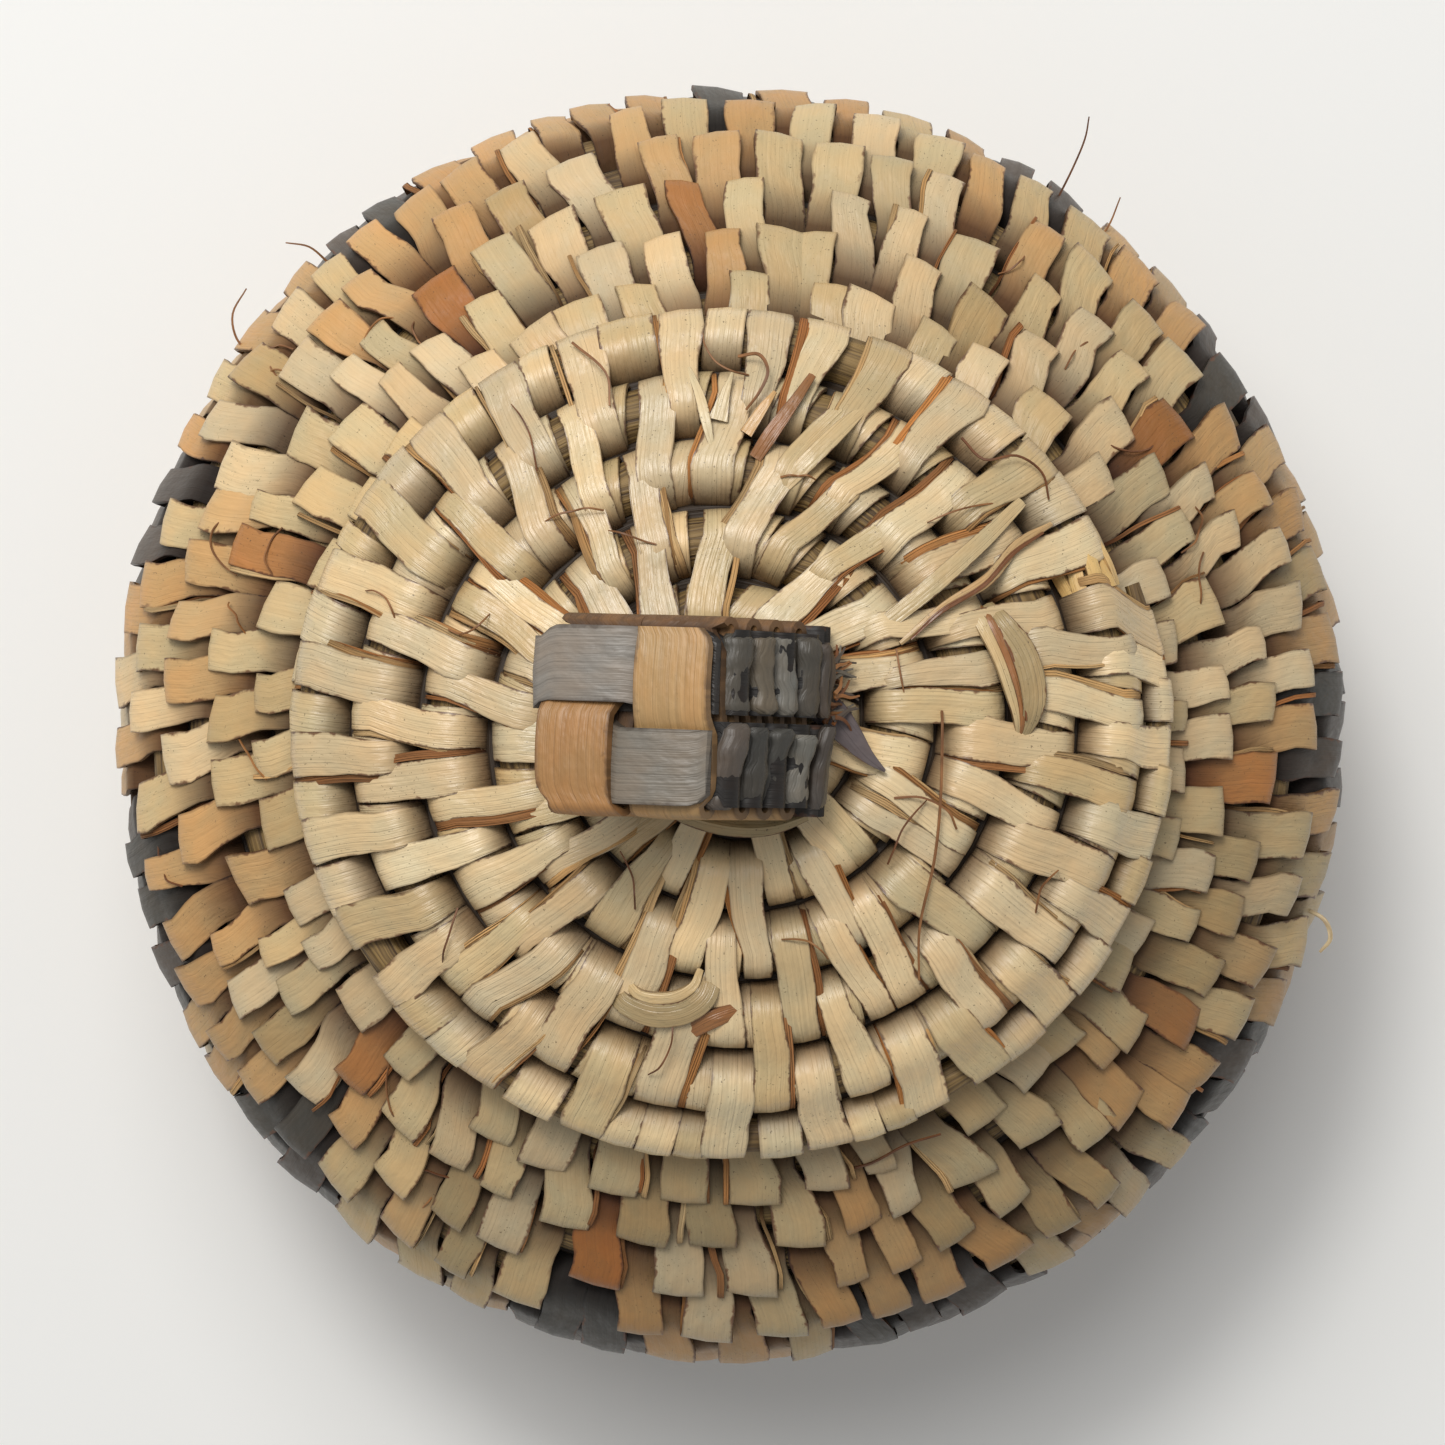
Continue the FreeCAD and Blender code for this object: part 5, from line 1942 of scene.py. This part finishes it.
        tuft = []
        for _ in range(hairs):
            x, y = rng.uniform(9.4, 10.8), rng.uniform(0.0, 6.5)
            heading, size = rng.uniform(-1.0, 1.2), rng.uniform(0.4, 1.0)
            rise = rng.uniform(1.5, 4.5)
            places = []
            for k in range(4):
                places.append((x, y, rise * (1.0 - 0.22 * k), 0.46 - 0.09 * k))
                x, y = x + size * math.cos(heading), y + size * math.sin(heading)
                heading += rng.uniform(-0.5, 0.5)
            leaf = (Leaf.BARK, Leaf.DARK, Leaf.SEPIA, Leaf.ASH)[int(rng.integers(0, 4))]
            tuft.append(LooseStrip(tuple(places), leaf, 0.18, 0.02))
        shell = laid((KNOB_TAIL, *tuft, KNOB_UNDER), level, rng)
        self.add("knob_loose_ends", shell, "strip", "grey_palm")

    def add_stem(self) -> None:
        """Strips that run down through the lid, and the knot that ties them below it."""
        high, low = self.foot - 0.3, self.foot - 8.0
        knot_drop = np.array([0.0, 0.15, 1.0, 2.2, 3.7, 5.2, 6.4, 7.2, 7.4])
        knot_size = np.array([2.4, 3.4, 4.6, 5.1, 5.2, 5.1, 4.6, 3.4, 2.0])
        for name, z, size, sides, leaf, seed, stems, depth, twist, slot, nodes in (
                ("knob_stem_strips", np.linspace(high, low, 8), np.full(8, 2.35), 16, Leaf.OAT, 2.0,
                 8, 0.12, 0.1, "pale_palm", ("knob_stem",)),
                ("knob_tail_knot_strips", low - knot_drop, knot_size, 24, Leaf.GREY, 3.0,
                 7, 0.14, 0.35, "grey_palm", ("knob_tail_knot",))):
            centre = stacked(0.0, 0.0, z)[None]
            shell = tubes(centre, np.broadcast_to(EAST, centre.shape),
                          np.broadcast_to(SOUTH, centre.shape), size[None], sides,
                          np.array([leaf.rgb]), np.array([seed]), stems, depth, (twist * z)[None])
            self.add(name, shell, "strip", slot, nodes)


# ---- studio


@dataclass
class Studio:
    """Pale floor, a soft and a small light from the upper left, and a camera that looks down."""

    floor_material: Material
    camera_height: float = 0.530
    camera_shift: Pair = (-0.00085, 0.0004)
    lens: float = 105.0
    sensor: float = 36.0
    sky: float = 0.345
    sky_colour: Row = (0.97, 0.985, 1.0, 1.0)
    light_place: Triple = (-0.17, 0.42, 0.90)
    light_powers: Pair = (5.25, 2.1)
    light_sizes: Pair = (0.64, 0.2)
    light_colour: Triple = (1.0, 0.985, 0.96)
    floor_half: float = 3.0
    floor_drop: float = 0.0002

    def build(self) -> None:
        """Makes the floor, the lights and the camera."""
        scene = bpy.context.scene
        link = scene.collection.objects.link
        side = self.floor_half
        mesh = bpy.data.meshes.new("floor")
        mesh.from_pydata([(-side, -side, 0), (side, -side, 0), (side, side, 0), (-side, side, 0)],
                         [], [(0, 1, 2, 3)])
        mesh.materials.append(self.floor_material)
        floor = bpy.data.objects.new("floor", mesh)
        floor.location.z = -self.floor_drop
        link(floor)
        x, y, z = self.light_place
        for name, power, size in zip(("key", "glint"), self.light_powers, self.light_sizes):
            light = bpy.data.lights.new(name, "AREA")
            light.shape, light.size = "DISK", size
            light.energy, light.color = power, self.light_colour
            lamp = bpy.data.objects.new(name, light)
            lamp.location = self.light_place
            lamp.rotation_euler = (math.atan2(math.hypot(x, y), z), 0.0,
                                   math.atan2(y, x) + 0.5 * math.pi)
            link(lamp)
        world = bpy.data.worlds.new("studio")
        world.use_nodes = True
        back = world.node_tree.nodes["Background"]
        back.inputs["Color"].default_value = self.sky_colour
        back.inputs["Strength"].default_value = self.sky
        scene.world = world
        camera = bpy.data.cameras.new("camera")
        camera.lens, camera.sensor_width, camera.clip_start = self.lens, self.sensor, 0.01
        seen = bpy.data.objects.new("camera", camera)
        seen.location = (*self.camera_shift, self.camera_height)
        link(seen)
        scene.camera = seen
        scene.view_settings.view_transform = "Standard"


# ---- main


def main() -> None:
    """Builds the scene: the classes in order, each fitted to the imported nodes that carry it."""
    logging.basicConfig(level=logging.INFO, format="%(message)s")
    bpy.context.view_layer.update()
    rng = np.random.default_rng(SEED)
    finish = Finishes()
    stem_above_lid, flange_radius = 3.7, 2.3
    stem_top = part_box("knob_stem")[1][2] / MM
    flange_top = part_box("lid_flange_coil")[1][2] / MM
    knob_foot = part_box("knob_foot_pleats")[0][2] / MM
    form = LidForm()
    basket, lid = (rng, finish, "basket"), (rng, finish, "lid")
    for part in (BasketBody(*basket, BasketForm().coil()),
                 Lid(*lid, form.coil(stem_top - stem_above_lid), form),
                 Flange(*lid, flange_top - flange_radius), Knob(*lid, knob_foot),
                 Studio(finish.floor)):
        part.build()
        log.info("built: %s", type(part).__name__)


if __name__ == "__main__":
    main()
